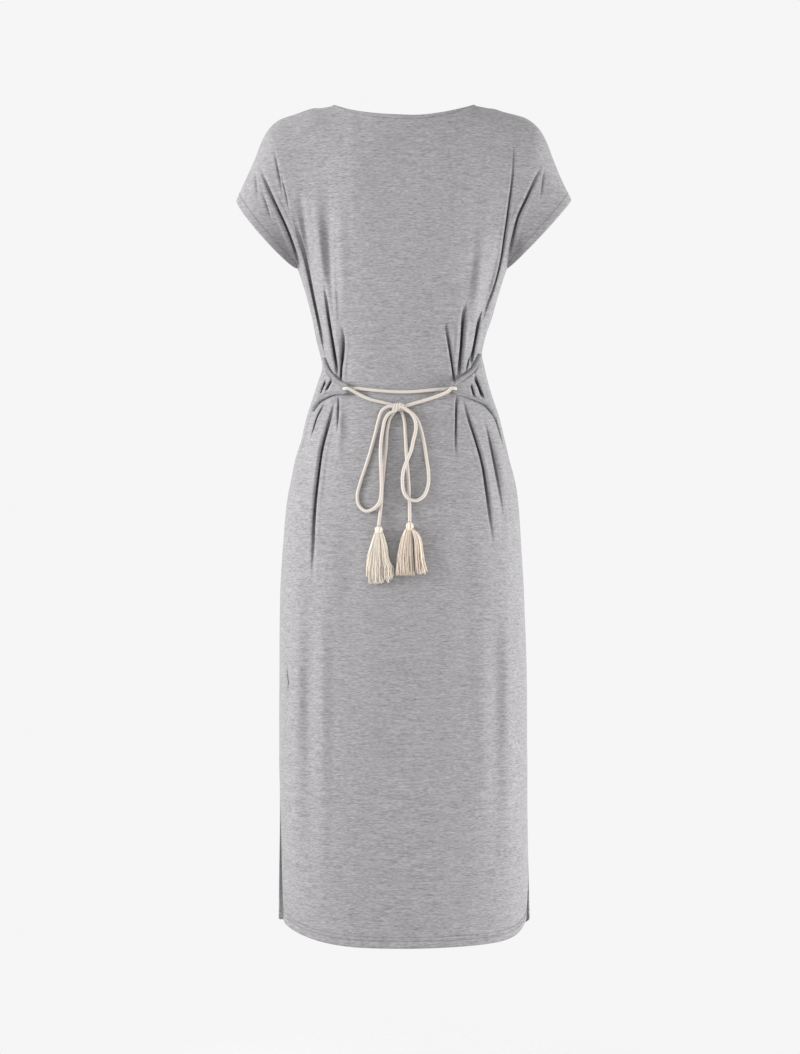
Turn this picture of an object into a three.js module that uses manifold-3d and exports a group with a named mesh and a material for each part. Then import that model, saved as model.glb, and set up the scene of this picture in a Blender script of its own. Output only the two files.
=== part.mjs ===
// T-shirt dress in grey marl jersey, drawn in behind the waist by a tasselled cotton cord.
// Units are millimetres. +Z is up, the back of the dress faces -Y and the wearer's left is -X.
// The origin lies between the two neck points, at shoulder height. A drop is measured down from it.

import * as THREE from 'three';
import { mergeVertices } from 'three/addons/utils/BufferGeometryUtils.js';
import Module from 'manifold-3d';

const wasm = await Module();
wasm.setup();

// Driving dimensions of the cloth

const WALL = 1.5;
const SEAM_GAP = 0.3;
const HEM_DROP = 1181;
const HEM_RISE_REACH = 260;
// Rise of the hem towards each side slit: an even tilt, and a rounded corner with its power
const HEM_LEFT = { tilt: 2, corner: 26, power: 2.6 };
const HEM_RIGHT = { tilt: 7, corner: 21, power: 6 };
const YOKE_DROP = 270;
const WAIST_DROP = 407;
const UNDERARM_DROP = 232;
const UNDERARM_SHARE = 0.84;
const SLIT_TOP = 930;
const SLIT_BACK_OPENING = 34;
const SLIT_FRONT_OPENING = 8;
const SLIT_FLARE = 1.2;

// Half neck width, and the share of a panel's half width that the neckline takes
const NECK_HALF_WIDTH = 100;
const NECK_SHARE = 0.48;
const NECK_POINT_RISE = 1.6;

// Share of a column's length with which the yoke leaves its top edge and meets the ring below,
// and the column from which it is drawn towards the sleeve opening
const YOKE_LEAVE = 0.85;
const YOKE_ARRIVE = 1.05;
const YOKE_ARRIVE_REACH = 8;
const SLEEVE_PULL_FROM = 0.5;

// Driving dimensions of the trim

const CORD_DIAMETER = 4.6;
const LOOP_DIAMETER = 5.4;
const REST_CLEARANCE = 0.7;
const TUBE_SIDES = 8;
// Rings of a ball, as shares of its radius, at which its contact with the cloth is felt for
const CONTACT_RINGS = [0, 0.5, 0.9];

/**
 * Horizontal sections of the worn dress below the armholes.
 * left and right are half widths, back and front are depths from the side line,
 * and seam is how far the side seam is drawn round to the back, in degrees.
 */
const SECTIONS = [
  { drop: 225, left: 155, right: 150, back: 86, front: 112, seam: 0 },
  { drop: 248, left: 147, right: 142, back: 86, front: 114, seam: 0 },
  { drop: 277, left: 138, right: 133, back: 84, front: 113, seam: 1 },
  { drop: 305, left: 131, right: 125, back: 81, front: 109, seam: 4 },
  { drop: 334, left: 126, right: 116, back: 77, front: 103, seam: 9 },
  { drop: 356, left: 120, right: 112, back: 74, front: 99, seam: 15 },
  { drop: 372, left: 117, right: 115, back: 73, front: 97, seam: 21 },
  { drop: 391, left: 122, right: 119, back: 74, front: 97, seam: 22 },
  { drop: 420, left: 131, right: 127, back: 79, front: 99, seam: 22 },
  { drop: 448, left: 140, right: 137, back: 85, front: 102, seam: 18 },
  { drop: 477, left: 147, right: 144, back: 92, front: 104, seam: 15 },
  { drop: 506, left: 156, right: 151, back: 98, front: 106, seam: 13 },
  { drop: 534, left: 161, right: 158, back: 102, front: 107, seam: 10 },
  { drop: 563, left: 166, right: 163, back: 106, front: 108, seam: 7 },
  { drop: 620, left: 172, right: 167, back: 109, front: 109, seam: 4 },
  { drop: 706, left: 177, right: 172, back: 110, front: 109, seam: 1 },
  { drop: 849, left: 178, right: 176, back: 111, front: 110, seam: 0 },
  { drop: 992, left: 178, right: 176, back: 112, front: 111, seam: 0 },
  { drop: 1135, left: 180, right: 180, back: 113, front: 112, seam: 0 },
  { drop: 1190, left: 180, right: 181, back: 113, front: 112, seam: 0 },
];
const SQUARENESS = 2.25;

/** Shoulder line from the neck point to the sleeve tip. reach is the distance from the centre. */
const SHOULDER = [
  { reach: 100, drop: -1.6 },
  { reach: 108, drop: 1.4 },
  { reach: 116, drop: 3.4 },
  { reach: 128, drop: 3 },
  { reach: 144, drop: 8 },
  { reach: 160, drop: 12.5 },
  { reach: 177, drop: 18.5 },
  { reach: 192, drop: 31 },
  { reach: 203, drop: 49 },
  { reach: 214, drop: 77 },
  { reach: 226, drop: 106 },
  { reach: 239, drop: 134 },
];

/**
 * The two cloth panels. facing is -1 on the back and +1 on the front. The leans are the angle
 * below the horizontal at which the cloth leaves the neckline at its centre and at the shoulder.
 */
const BACK = {
  name: 'back',
  facing: -1,
  neckDepth: 60,
  neckDrop: 24,
  neckSag: 1.6,
  centreLean: 72,
  shoulderLean: 6,
  sleeveDepth: 48,
  slitOpening: SLIT_BACK_OPENING,
  columns: [
    0, 0.12, 0.23, 0.32, 0.38, 0.42, 0.46, 0.5, 0.54, 0.58, 0.62, 0.66, 0.7, 0.75, 0.8, 0.86, 0.93, 1,
  ],
};
const FRONT = {
  name: 'front',
  facing: 1,
  neckDepth: 58,
  neckDrop: 76,
  neckSag: 1,
  centreLean: 60,
  shoulderLean: 6,
  sleeveDepth: 50,
  slitOpening: SLIT_FRONT_OPENING,
  columns: [0, 0.1, 0.2, 0.3, 0.4, 0.48, 0.56, 0.64, 0.72, 0.8, 0.87, 0.94, 1],
};

/**
 * Rows of the wall from the top edge down: yoke rows by share, the rest by drop. Each panel is one
 * piece of cloth, and its wall is parted at the waist, under the cord, into two solids.
 */
const YOKE_ROWS = 13;
const BODICE_ROWS = [
  { to: 300, count: 2 },
  { to: WAIST_DROP - SEAM_GAP / 2, count: 8 },
];
const SKIRT_ROWS = [
  { to: 460, count: 4 },
  { to: 580, count: 6 },
  { to: 930, count: 6 },
  { to: HEM_DROP, count: 5 },
];

/**
 * Largest folds and gathers of the back, each a soft line down the cloth. top and bottom are
 * drops, x its course at the top, middle and bottom, rise its height out of the cloth (negative is a trough),
 * width its half width and peak the share of its length where it is deepest.
 */
const BACK_FOLDS = [
  { name: 'left sleeve drag', top: 55, bottom: 222, x: [-204, -172, -156], rise: -8, width: 7, peak: 0.55 },
  { name: 'right sleeve drag', top: 70, bottom: 230, x: [192, 166, 146], rise: -8, width: 7, peak: 0.6 },
  { name: 'left blade hollow', top: 110, bottom: 385, x: [-152, -131, -99], rise: -5, width: 8, peak: 0.65 },
  { name: 'left blade ridge', top: 60, bottom: 300, x: [-148, -131, -121], rise: 3, width: 7, peak: 0.5 },
  { name: 'left gather outer', top: 245, bottom: 400, x: [-112, -101, -89], rise: -8, width: 6, peak: 0.72 },
  { name: 'left gather inner', top: 280, bottom: 402, x: [-85, -83, -80], rise: -7, width: 6, peak: 0.75 },
  { name: 'right blade crease', top: 50, bottom: 300, x: [150, 146, 123], rise: -5, width: 5, peak: 0.6 },
  { name: 'right blade hollow', top: 190, bottom: 385, x: [128, 113, 97], rise: -7, width: 7, peak: 0.7 },
  { name: 'right gather outer', top: 290, bottom: 402, x: [83, 79, 73], rise: -8, width: 6, peak: 0.75 },
  { name: 'right gather inner', top: 315, bottom: 405, x: [56, 62, 70], rise: -6, width: 6, peak: 0.75 },
  { name: 'left skirt gather', top: 410, bottom: 690, x: [-88, -122, -123], rise: -9, width: 7, peak: 0.25 },
  { name: 'left skirt side', top: 418, bottom: 520, x: [-112, -134, -145], rise: -6, width: 7, peak: 0.3 },
  { name: 'left skirt ridge', top: 415, bottom: 520, x: [-88, -90, -92], rise: 4, width: 8, peak: 0.3 },
  { name: 'right skirt gather', top: 415, bottom: 660, x: [76, 112, 133], rise: -9, width: 7, peak: 0.3 },
  { name: 'right skirt side', top: 420, bottom: 560, x: [102, 128, 143], rise: -6, width: 8, peak: 0.3 },
  { name: 'right skirt centre', top: 412, bottom: 510, x: [70, 71, 72], rise: -5, width: 6, peak: 0.3 },
  { name: 'left hem ridge', top: 690, bottom: 1170, x: [-152, -148, -138], rise: 3, width: 12, peak: 0.5 },
  { name: 'right hem ridge', top: 660, bottom: 1170, x: [156, 150, 150], rise: 3, width: 12, peak: 0.5 },
];

/** Folds of the front: soft ones where the waist draws the sides back, and two down the skirt. */
const FRONT_FOLDS = [
  { name: 'left bust fold', top: 150, bottom: 400, x: [-120, -108, -96], rise: -5, width: 12, peak: 0.6 },
  { name: 'right bust fold', top: 150, bottom: 400, x: [118, 104, 92], rise: -5, width: 12, peak: 0.6 },
  { name: 'left sleeve fold', top: 60, bottom: 225, x: [-196, -170, -156], rise: -6, width: 8, peak: 0.6 },
  { name: 'right sleeve fold', top: 60, bottom: 225, x: [196, 168, 150], rise: -6, width: 8, peak: 0.6 },
  { name: 'left skirt fold', top: 400, bottom: 900, x: [-95, -118, -126], rise: -5, width: 14, peak: 0.3 },
  { name: 'right skirt fold', top: 400, bottom: 860, x: [94, 116, 122], rise: -5, width: 14, peak: 0.3 },
];

// Height of the soft rise beside a fold, how many half widths off it stands, how far a fold is
// felt in half widths, and the share of a panel over which folds die out at its edge
const FOLD_SHOULDER = 0.32;
const FOLD_SHOULDER_OFFSET = 1.9;
const FOLD_REACH = 4;
const FOLD_EDGE_FADE = 0.07;
const LEAST_LIFT = 0.01;

// Small steps over which the cloth's own directions are taken
const COLUMN_STEP = 0.012;
const ROW_STEP = 0.012;
const LAST_SHARE = 0.9999;
const DROP_STEP = 2.5;
const TURN_STEP = 0.03;

// Interpolation

/** Smooth curve of one column of a table over its drop, without overshoot between equal rows. */
function columnCurve(rows, column) {
  const last = rows.length - 1;
  const chord = (i) => (rows[i + 1][column] - rows[i][column]) / (rows[i + 1].drop - rows[i].drop);
  const slopes = rows.map((row, i) => {
    if (i === 0) return chord(0);
    if (i === last) return chord(last - 1);
    const before = chord(i - 1);
    const after = chord(i);
    return before * after <= 0 ? 0 : (2 * before * after) / (before + after);
  });
  return (drop) => {
    let i = 0;
    while (i < last - 1 && drop > rows[i + 1].drop) i += 1;
    const span = rows[i + 1].drop - rows[i].drop;
    const t = THREE.MathUtils.clamp((drop - rows[i].drop) / span, 0, 1);
    return hermite(rows[i][column], slopes[i] * span, rows[i + 1][column], slopes[i + 1] * span, t);
  };
}

function hermite(start, startSlope, end, endSlope, t) {
  const t2 = t * t;
  const t3 = t2 * t;
  return (
    (2 * t3 - 3 * t2 + 1) * start +
    (t3 - 2 * t2 + t) * startSlope +
    (3 * t2 - 2 * t3) * end +
    (t3 - t2) * endSlope
  );
}

function hermiteVector(start, startSlope, end, endSlope, t) {
  return new THREE.Vector3(
    hermite(start.x, startSlope.x, end.x, endSlope.x, t),
    hermite(start.y, startSlope.y, end.y, endSlope.y, t),
    hermite(start.z, startSlope.z, end.z, endSlope.z, t),
  );
}

const section = {
  left: columnCurve(SECTIONS, 'left'),
  right: columnCurve(SECTIONS, 'right'),
  back: columnCurve(SECTIONS, 'back'),
  front: columnCurve(SECTIONS, 'front'),
  seam: columnCurve(SECTIONS, 'seam'),
};

// Shape of the worn cloth

const signedPower = (value, power) => Math.sign(value) * Math.abs(value) ** power;

/** Point of the closed ring at a drop. turn is 0 at centre back and a quarter turn at the right. */
function ringPoint(turn, drop) {
  const across = Math.sin(turn);
  const along = Math.cos(turn);
  const halfWidth = across > 0 ? section.right(drop) : section.left(drop);
  const depth = along > 0 ? section.back(drop) : section.front(drop);
  const power = 2 / SQUARENESS;
  return new THREE.Vector3(
    halfWidth * signedPower(across, power),
    -depth * signedPower(along, power),
    -drop,
  );
}

/** Outward direction of the ring at a turn and drop. */
function ringNormal(turn, drop) {
  const around = ringPoint(turn + TURN_STEP, drop).sub(ringPoint(turn - TURN_STEP, drop));
  const down = ringPoint(turn, drop + DROP_STEP).sub(ringPoint(turn, drop - DROP_STEP));
  return new THREE.Vector3().crossVectors(down, around).normalize();
}

/** Turn of the panel's side edge: the seam line, and below the slit's top its open edge. */
function edgeTurn(panel, drop) {
  const seam = THREE.MathUtils.degToRad(90 - section.seam(drop));
  const open = Math.max(0, (drop - SLIT_TOP) / (HEM_DROP - SLIT_TOP)) ** SLIT_FLARE;
  const retreat = (SEAM_GAP / 2 + panel.slitOpening * open) / section.back(drop);
  return panel.facing < 0 ? seam - retreat : seam + retreat;
}

/** Turn at a signed column of a panel, -1 at its left edge and +1 at its right. */
function columnTurn(panel, column, drop) {
  const edge = edgeTurn(panel, drop);
  if (panel.facing < 0) return column * edge;
  return Math.sign(column || 1) * (Math.PI - Math.abs(column) * (Math.PI - edge));
}

const SHOULDER_END = 0.02;
const shoulderCurve = new THREE.SplineCurve(
  SHOULDER.map((row) => new THREE.Vector2(row.reach, -row.drop)),
);

/** Point of the panel's top edge: the neckline, then the shoulder line to the sleeve tip. */
function topPoint(panel, column) {
  const side = Math.sign(column || 1);
  const share = Math.abs(column);
  const seamSide = (panel.facing * SEAM_GAP) / 2;
  if (share < NECK_SHARE) {
    const angle = (share / NECK_SHARE) * (Math.PI / 2);
    const sag = Math.cos(angle);
    return new THREE.Vector3(
      side * NECK_HALF_WIDTH * Math.sin(angle),
      seamSide + panel.facing * panel.neckDepth * sag,
      NECK_POINT_RISE - (panel.neckDrop + NECK_POINT_RISE) * sag ** panel.neckSag,
    );
  }
  const point = shoulderCurve.getPointAt((share - NECK_SHARE) / (1 - NECK_SHARE));
  return new THREE.Vector3(side * point.x, seamSide, point.y);
}

/** Outward direction at the shoulder seam, the same for both panels. */
function shoulderNormal(column) {
  const side = Math.sign(column);
  const share = (Math.abs(column) - NECK_SHARE) / (1 - NECK_SHARE);
  const held = THREE.MathUtils.clamp(share, SHOULDER_END, 1 - SHOULDER_END);
  const tangent = shoulderCurve.getTangentAt(held);
  return new THREE.Vector3(-side * tangent.y, 0, tangent.x).normalize();
}

/** Direction in which the cloth leaves the panel's top edge. */
function topDirection(panel, column) {
  const share = Math.min(Math.abs(column) / NECK_SHARE, 1);
  const lean = THREE.MathUtils.lerp(panel.centreLean, panel.shoulderLean, share ** 1.5);
  const angle = THREE.MathUtils.degToRad(lean);
  return new THREE.Vector3(0, panel.facing * Math.cos(angle), -Math.sin(angle));
}

/** The panel's outer edge beside the yoke: half the sleeve opening, then the first side seam. */
function yokeEdge(panel, side, share) {
  const tip = topPoint(panel, side);
  if (share > UNDERARM_SHARE) {
    const along = (share - UNDERARM_SHARE) / (1 - UNDERARM_SHARE);
    const drop = THREE.MathUtils.lerp(UNDERARM_DROP, YOKE_DROP, along);
    return ringPoint(columnTurn(panel, side, drop), drop);
  }
  const underarm = ringPoint(columnTurn(panel, side, UNDERARM_DROP), UNDERARM_DROP);
  const angle = (share / UNDERARM_SHARE) * Math.PI;
  const point = tip.clone().lerp(underarm, (1 - Math.cos(angle)) / 2);
  point.y += panel.facing * panel.sleeveDepth * Math.sin(angle);
  return point;
}

/** Column of the yoke as one curve from the top edge to the ring below the armholes. */
function yokeColumn(panel, column, share) {
  const top = topPoint(panel, column);
  const turn = columnTurn(panel, column, YOKE_DROP);
  const bottom = ringPoint(turn, YOKE_DROP);
  const length = top.distanceTo(bottom);
  const leave = topDirection(panel, column).multiplyScalar(length * YOKE_LEAVE);
  const arrive = ringPoint(turn, YOKE_DROP + YOKE_ARRIVE_REACH);
  arrive.sub(ringPoint(turn, YOKE_DROP - YOKE_ARRIVE_REACH));
  arrive.multiplyScalar((length * YOKE_ARRIVE) / (2 * YOKE_ARRIVE_REACH));
  return hermiteVector(top, leave, bottom, arrive, share);
}

/** Point of the unfolded cloth at a column and row. */
function clothPoint(panel, column, row) {
  if (row.share < 1) {
    const point = yokeColumn(panel, column, row.share);
    const pull = Math.max(0, (Math.abs(column) - SLEEVE_PULL_FROM) / (1 - SLEEVE_PULL_FROM)) ** 2;
    if (pull > 0) {
      const side = Math.sign(column);
      const edge = yokeEdge(panel, side, row.share).sub(yokeColumn(panel, side, row.share));
      point.addScaledVector(edge, pull);
    }
    return point;
  }
  const below = Math.max(0, 1 - (HEM_DROP - row.drop) / HEM_RISE_REACH);
  const hem = column < 0 ? HEM_LEFT : HEM_RIGHT;
  const rise = hem.tilt * Math.abs(column) + hem.corner * Math.abs(column) ** hem.power;
  const drop = row.drop - rise * below;
  return ringPoint(columnTurn(panel, column, drop), drop);
}

/** How far the folds lift the cloth out of its plain form at a point. */
function foldLift(folds, point, column) {
  const drop = -point.z;
  let lift = 0;
  for (const fold of folds) {
    const along = (drop - fold.top) / (fold.bottom - fold.top);
    if (along <= 0 || along >= 1) continue;
    const [upper, middle, lower] = fold.x;
    const control = 2 * middle - (upper + lower) / 2;
    const course = (1 - along) ** 2 * upper + 2 * along * (1 - along) * control + along ** 2 * lower;
    const away = (point.x - course) / fold.width;
    if (Math.abs(away) > FOLD_REACH) continue;
    const swell = along < fold.peak ? along / fold.peak : (1 - along) / (1 - fold.peak);
    const nearer = Math.exp(-((away - FOLD_SHOULDER_OFFSET) ** 2));
    const farther = Math.exp(-((away + FOLD_SHOULDER_OFFSET) ** 2));
    const shape = Math.exp(-away * away) - FOLD_SHOULDER * (nearer + farther);
    lift += fold.rise * shape * THREE.MathUtils.smoothstep(swell, 0, 1);
  }
  const fade = THREE.MathUtils.clamp((1 - Math.abs(column)) / FOLD_EDGE_FADE, 0, 1);
  return lift * fade;
}

/** Outward direction of the cloth, from neighbouring points of its surface. */
function surfaceNormal(pointAt, panel, column, row) {
  const left = pointAt(panel, Math.max(column - COLUMN_STEP, -1), row);
  const right = pointAt(panel, Math.min(column + COLUMN_STEP, 1), row);
  const above = pointAt(panel, column, neighbourRow(row, -1));
  const below = pointAt(panel, column, neighbourRow(row, 1));
  const across = right.sub(left);
  const down = below.sub(above);
  return new THREE.Vector3().crossVectors(down, across).multiplyScalar(-panel.facing).normalize();
}

/** Row a small step above or below, held inside the panel. */
function neighbourRow(row, direction) {
  if (row.share < 1) {
    const share = THREE.MathUtils.clamp(row.share + direction * ROW_STEP, 0, LAST_SHARE);
    return { share, drop: YOKE_DROP };
  }
  const drop = row.drop + direction * DROP_STEP;
  if (drop < YOKE_DROP) return { share: 1 - ROW_STEP, drop: YOKE_DROP };
  return { share: 1, drop: Math.min(drop, HEM_DROP) };
}

function foldedPoint(panel, column, row) {
  const point = clothPoint(panel, column, row);
  const lift = foldLift(panel.folds, point, column);
  if (Math.abs(lift) > LEAST_LIFT) {
    const normal = surfaceNormal(clothPoint, panel, column, row);
    point.addScaledVector(normal, lift);
  }
  return point;
}

/** Outward direction used for the wall's thickness: shared by both panels along each seam. */
function wallNormal(panel, column, row) {
  const onEdge = Math.abs(column) === 1;
  const onShoulder = row.share === 0 && Math.abs(column) >= NECK_SHARE;
  if (onShoulder) return shoulderNormal(column);
  if (onEdge && row.share >= UNDERARM_SHARE) {
    const along = (Math.min(row.share, 1) - UNDERARM_SHARE) / (1 - UNDERARM_SHARE);
    const drop = row.share < 1 ? THREE.MathUtils.lerp(UNDERARM_DROP, YOKE_DROP, along) : row.drop;
    const seam = Math.sign(column) * THREE.MathUtils.degToRad(90 - section.seam(drop));
    return ringNormal(seam, drop);
  }
  return surfaceNormal(foldedPoint, panel, column, row);
}

/** Rows below the yoke, from a drop down through bands of even rows. */
function bodyRows(start, bands) {
  const rows = [];
  let from = start;
  for (const band of bands) {
    for (let i = 0; i < band.count; i += 1) {
      rows.push({ share: 1, drop: from + ((band.to - from) * i) / band.count });
    }
    from = band.to;
  }
  rows.push({ share: 1, drop: from });
  return rows;
}

/** Rows of the bodice, from the panel's top edge to the waist. */
function bodiceRows() {
  const rows = [];
  for (let i = 0; i < YOKE_ROWS; i += 1) rows.push({ share: i / YOKE_ROWS, drop: YOKE_DROP });
  return [...rows, ...bodyRows(YOKE_DROP, BODICE_ROWS)];
}

/** Rows of the skirt, from the waist to the hem. */
function skirtRows() {
  return bodyRows(WAIST_DROP + SEAM_GAP / 2, SKIRT_ROWS);
}

/** Columns of a panel from its left edge to its right. */
function panelColumns(panel) {
  const left = panel.columns.slice(1).reverse().map((column) => -column);
  return [...left, ...panel.columns];
}

/** Closed wall over rows of a panel: an outer skin, an inner skin and a rim round all its edges. */
function wallGeometry(panel, rows) {
  const columns = panelColumns(panel);
  const outer = [];
  const inner = [];
  for (const row of rows) {
    for (const column of columns) {
      const point = foldedPoint(panel, column, row);
      const normal = wallNormal(panel, column, row);
      outer.push(point);
      inner.push(point.clone().addScaledVector(normal, -WALL));
    }
  }
  const width = columns.length;
  const height = rows.length;
  const count = width * height;
  const triangles = [];
  const addQuad = (a, b, c, d) => {
    if (panel.facing < 0) triangles.push(a, b, c, a, c, d);
    else triangles.push(a, c, b, a, d, c);
  };
  const at = (i, j) => i * width + j;
  const within = (i, j) => count + at(i, j);
  for (let i = 0; i < height - 1; i += 1) {
    for (let j = 0; j < width - 1; j += 1) {
      addQuad(at(i, j), at(i + 1, j), at(i + 1, j + 1), at(i, j + 1));
      addQuad(within(i, j), within(i, j + 1), within(i + 1, j + 1), within(i + 1, j));
    }
  }
  for (let j = 0; j < width - 1; j += 1) {
    const foot = height - 1;
    addQuad(at(0, j), at(0, j + 1), within(0, j + 1), within(0, j));
    addQuad(at(foot, j + 1), at(foot, j), within(foot, j), within(foot, j + 1));
  }
  for (let i = 0; i < height - 1; i += 1) {
    const side = width - 1;
    addQuad(at(i + 1, 0), at(i, 0), within(i, 0), within(i + 1, 0));
    addQuad(at(i, side), at(i + 1, side), within(i + 1, side), within(i, side));
  }
  const geometry = new THREE.BufferGeometry().setFromPoints([...outer, ...inner]);
  geometry.setIndex(triangles);
  geometry.computeVertexNormals();
  return geometry;
}

BACK.folds = BACK_FOLDS;
FRONT.folds = FRONT_FOLDS;

// Materials

const jersey = new THREE.MeshStandardMaterial({ color: 0xaaa8aa, roughness: 0.85, metalness: 0 });
const innerJersey = new THREE.MeshStandardMaterial({ color: 0xb2b0b3, roughness: 0.85, metalness: 0 });
const cotton = new THREE.MeshStandardMaterial({ color: 0xe3d5c6, roughness: 0.9, metalness: 0 });

function namedMesh(name, geometry, material) {
  const mesh = new THREE.Mesh(geometry, material);
  mesh.name = name;
  return mesh;
}

/** The two solids of a panel's wall. */
function panelMeshes(panel, material) {
  return [
    namedMesh(`${panel.name}_bodice`, wallGeometry(panel, bodiceRows()), material),
    namedMesh(`${panel.name}_skirt`, wallGeometry(panel, skirtRows()), material),
  ];
}

const walls = [...panelMeshes(BACK, jersey), ...panelMeshes(FRONT, innerJersey)];

// Trim that lies on the back of the dress

const dress = new THREE.Group();
dress.add(...walls);
dress.updateMatrixWorld(true);

const PROBE_FROM = -400;
const CONTACT_SAMPLES = 8;
const probe = new THREE.Raycaster();
const towardsFront = new THREE.Vector3(0, 1, 0);

/** y of the cloth as met from behind at x and a drop, or null beside the dress. */
function clothDepth(x, drop) {
  probe.set(new THREE.Vector3(x, PROBE_FROM, -drop), towardsFront);
  const hits = probe.intersectObjects(walls, false);
  return hits.length ? hits[0].point.y : null;
}

/** y of the centre of a ball of this radius that lies against the back of the dress. */
function restingDepth(x, drop, radius) {
  let depth = Infinity;
  for (const ring of CONTACT_RINGS) {
    const samples = ring === 0 ? 1 : CONTACT_SAMPLES;
    for (let k = 0; k < samples; k += 1) {
      const angle = (k / samples) * 2 * Math.PI;
      const across = ring * radius * Math.cos(angle);
      const down = ring * radius * Math.sin(angle);
      const cloth = clothDepth(x + across, drop + down);
      if (cloth !== null) depth = Math.min(depth, cloth - radius * Math.sqrt(1 - ring * ring));
    }
  }
  return depth;
}

/** Curve that a round piece's sections follow stop by stop, not at even lengths. */
class StopCurve extends THREE.CatmullRomCurve3 {
  getPointAt(t, target) {
    return this.getPoint(t, target);
  }

  getTangentAt(t, target) {
    return this.getTangent(t, target);
  }
}

/**
 * Round cord or strip over the back of the dress. Each stop gives x, the drop and either its own y
 * or how far it stands off the cloth beyond resting on it.
 */
function tubeOver(stops, diameter) {
  const radius = diameter / 2 + REST_CLEARANCE;
  const points = stops.map((stop) => {
    const y = stop.y ?? restingDepth(stop.x, stop.drop, radius) - (stop.off ?? 0);
    return new THREE.Vector3(stop.x, y, -stop.drop);
  });
  const corners = [];
  for (let k = 0; k < TUBE_SIDES; k += 1) {
    const angle = (k / TUBE_SIDES) * 2 * Math.PI;
    corners.push(new THREE.Vector2(Math.cos(angle), Math.sin(angle)).multiplyScalar(diameter / 2));
  }
  return new THREE.ExtrudeGeometry(new THREE.Shape(corners), {
    steps: stops.length - 1,
    bevelEnabled: false,
    extrudePath: new StopCurve(points, false, 'centripetal'),
  });
}

// Loops of dress fabric at the waist, and the cord that turns round them

const TURN_CLEARANCE = 0.5;
const TURN_RADIUS = (CORD_DIAMETER + LOOP_DIAMETER) / 2 + TURN_CLEARANCE;

/** Place where the cord turns round a fabric loop. side is -1 on the left and +1 on the right. */
function waistTurn(side, x, drop) {
  const loopX = x - side * TURN_RADIUS;
  const nearest = restingDepth(loopX, drop, CORD_DIAMETER / 2 + REST_CLEARANCE);
  return { side, x, drop, loopX, nearest };
}

const TURN_LEFT = waistTurn(-1, -86, 409);
const TURN_RIGHT = waistTurn(1, 76, 409);

/** Stops of a fabric loop's bight, from its upper strand to its lower one. */
function loopBight(turn) {
  return [60, 20, -20, -60].map((degrees) => {
    const angle = THREE.MathUtils.degToRad(degrees);
    return {
      x: turn.x - turn.side * TURN_RADIUS * Math.cos(angle),
      drop: turn.drop - TURN_RADIUS * Math.sin(angle),
      y: turn.nearest - TURN_RADIUS,
    };
  });
}

/** Stops of the cord's turn through a fabric loop, from over the loop to under it. */
function cordTurn(turn) {
  return [90, 45, 0, -45, -90].map((degrees) => {
    const angle = THREE.MathUtils.degToRad(degrees);
    return {
      x: turn.loopX + turn.side * TURN_RADIUS * Math.cos(angle),
      drop: turn.drop,
      y: turn.nearest - TURN_RADIUS * (1 + Math.sin(angle)),
    };
  });
}

const LOOP_LEFT_STOPS = [
  { x: -108, drop: 383 },
  { x: -100, drop: 391, off: 0.5 },
  { x: -92, drop: 399, off: 3 },
  ...loopBight(TURN_LEFT),
  { x: -92, drop: 415.5, off: 3 },
  { x: -104, drop: 417.5, off: 1 },
  { x: -115, drop: 421.5 },
  { x: -122, drop: 427 },
];
const LOOP_RIGHT_STOPS = [
  { x: 103, drop: 380 },
  { x: 93, drop: 388, off: 0.5 },
  { x: 84, drop: 397, off: 3 },
  ...loopBight(TURN_RIGHT),
  { x: 84, drop: 416.5, off: 3 },
  { x: 97, drop: 420, off: 1 },
  { x: 108, drop: 424.5 },
  { x: 118, drop: 431 },
];
const WAIST_CORD_STOPS = [
  { x: -15.5, drop: 432.2 },
  { x: -30, drop: 428.5 },
  { x: -46, drop: 424.5, off: 0.3 },
  { x: -60, drop: 418.5, off: 2.5 },
  { x: -71, drop: 412.5, off: 7.5 },
  ...cordTurn(TURN_LEFT),
  { x: -68, drop: 408.5 },
  { x: -54, drop: 410 },
  { x: -38, drop: 411.8 },
  { x: -20, drop: 413.3 },
  { x: -3, drop: 414 },
  { x: 14, drop: 413.4 },
  { x: 30, drop: 412 },
  { x: 46, drop: 410.3 },
  { x: 59, drop: 409.2 },
  ...cordTurn(TURN_RIGHT).reverse(),
  { x: 61, drop: 413.5, off: 7.5 },
  { x: 50, drop: 418.2, off: 2.5 },
  { x: 35, drop: 423.5, off: 0.3 },
  { x: 18, drop: 428.8 },
  { x: 1.4, drop: 433.4 },
];

// Bow: the knot, two hanging bights and two tails

const KNOT = { x: -7, drop: 434.5, halfWidth: 8, halfHeight: 6, halfDepth: 6 };

const BOW_LEFT_STOPS = [
  { x: -16, drop: 434.4, off: 5.6 },
  { x: -22.5, drop: 435, off: 5.6 },
  { x: -30.5, drop: 440.5, off: 4.5 },
  { x: -35.5, drop: 454, off: 3 },
  { x: -39.5, drop: 471, off: 1.5 },
  { x: -46.5, drop: 497 },
  { x: -54, drop: 521 },
  { x: -61, drop: 543 },
  { x: -64.5, drop: 559 },
  { x: -62, drop: 572 },
  { x: -52, drop: 579.8, off: 1.5 },
  { x: -41, drop: 576, off: 4 },
  { x: -33.5, drop: 566, off: 6 },
  { x: -31.3, drop: 552, off: 6 },
  { x: -31.5, drop: 532, off: 6 },
  { x: -32.4, drop: 510, off: 5.6 },
  { x: -32.4, drop: 490, off: 4.5 },
  { x: -30, drop: 470, off: 4 },
  { x: -26, drop: 452, off: 4.6 },
  { x: -20.5, drop: 444.5, off: 5.2 },
  { x: -12, drop: 440.7, off: 5.6 },
];
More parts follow.
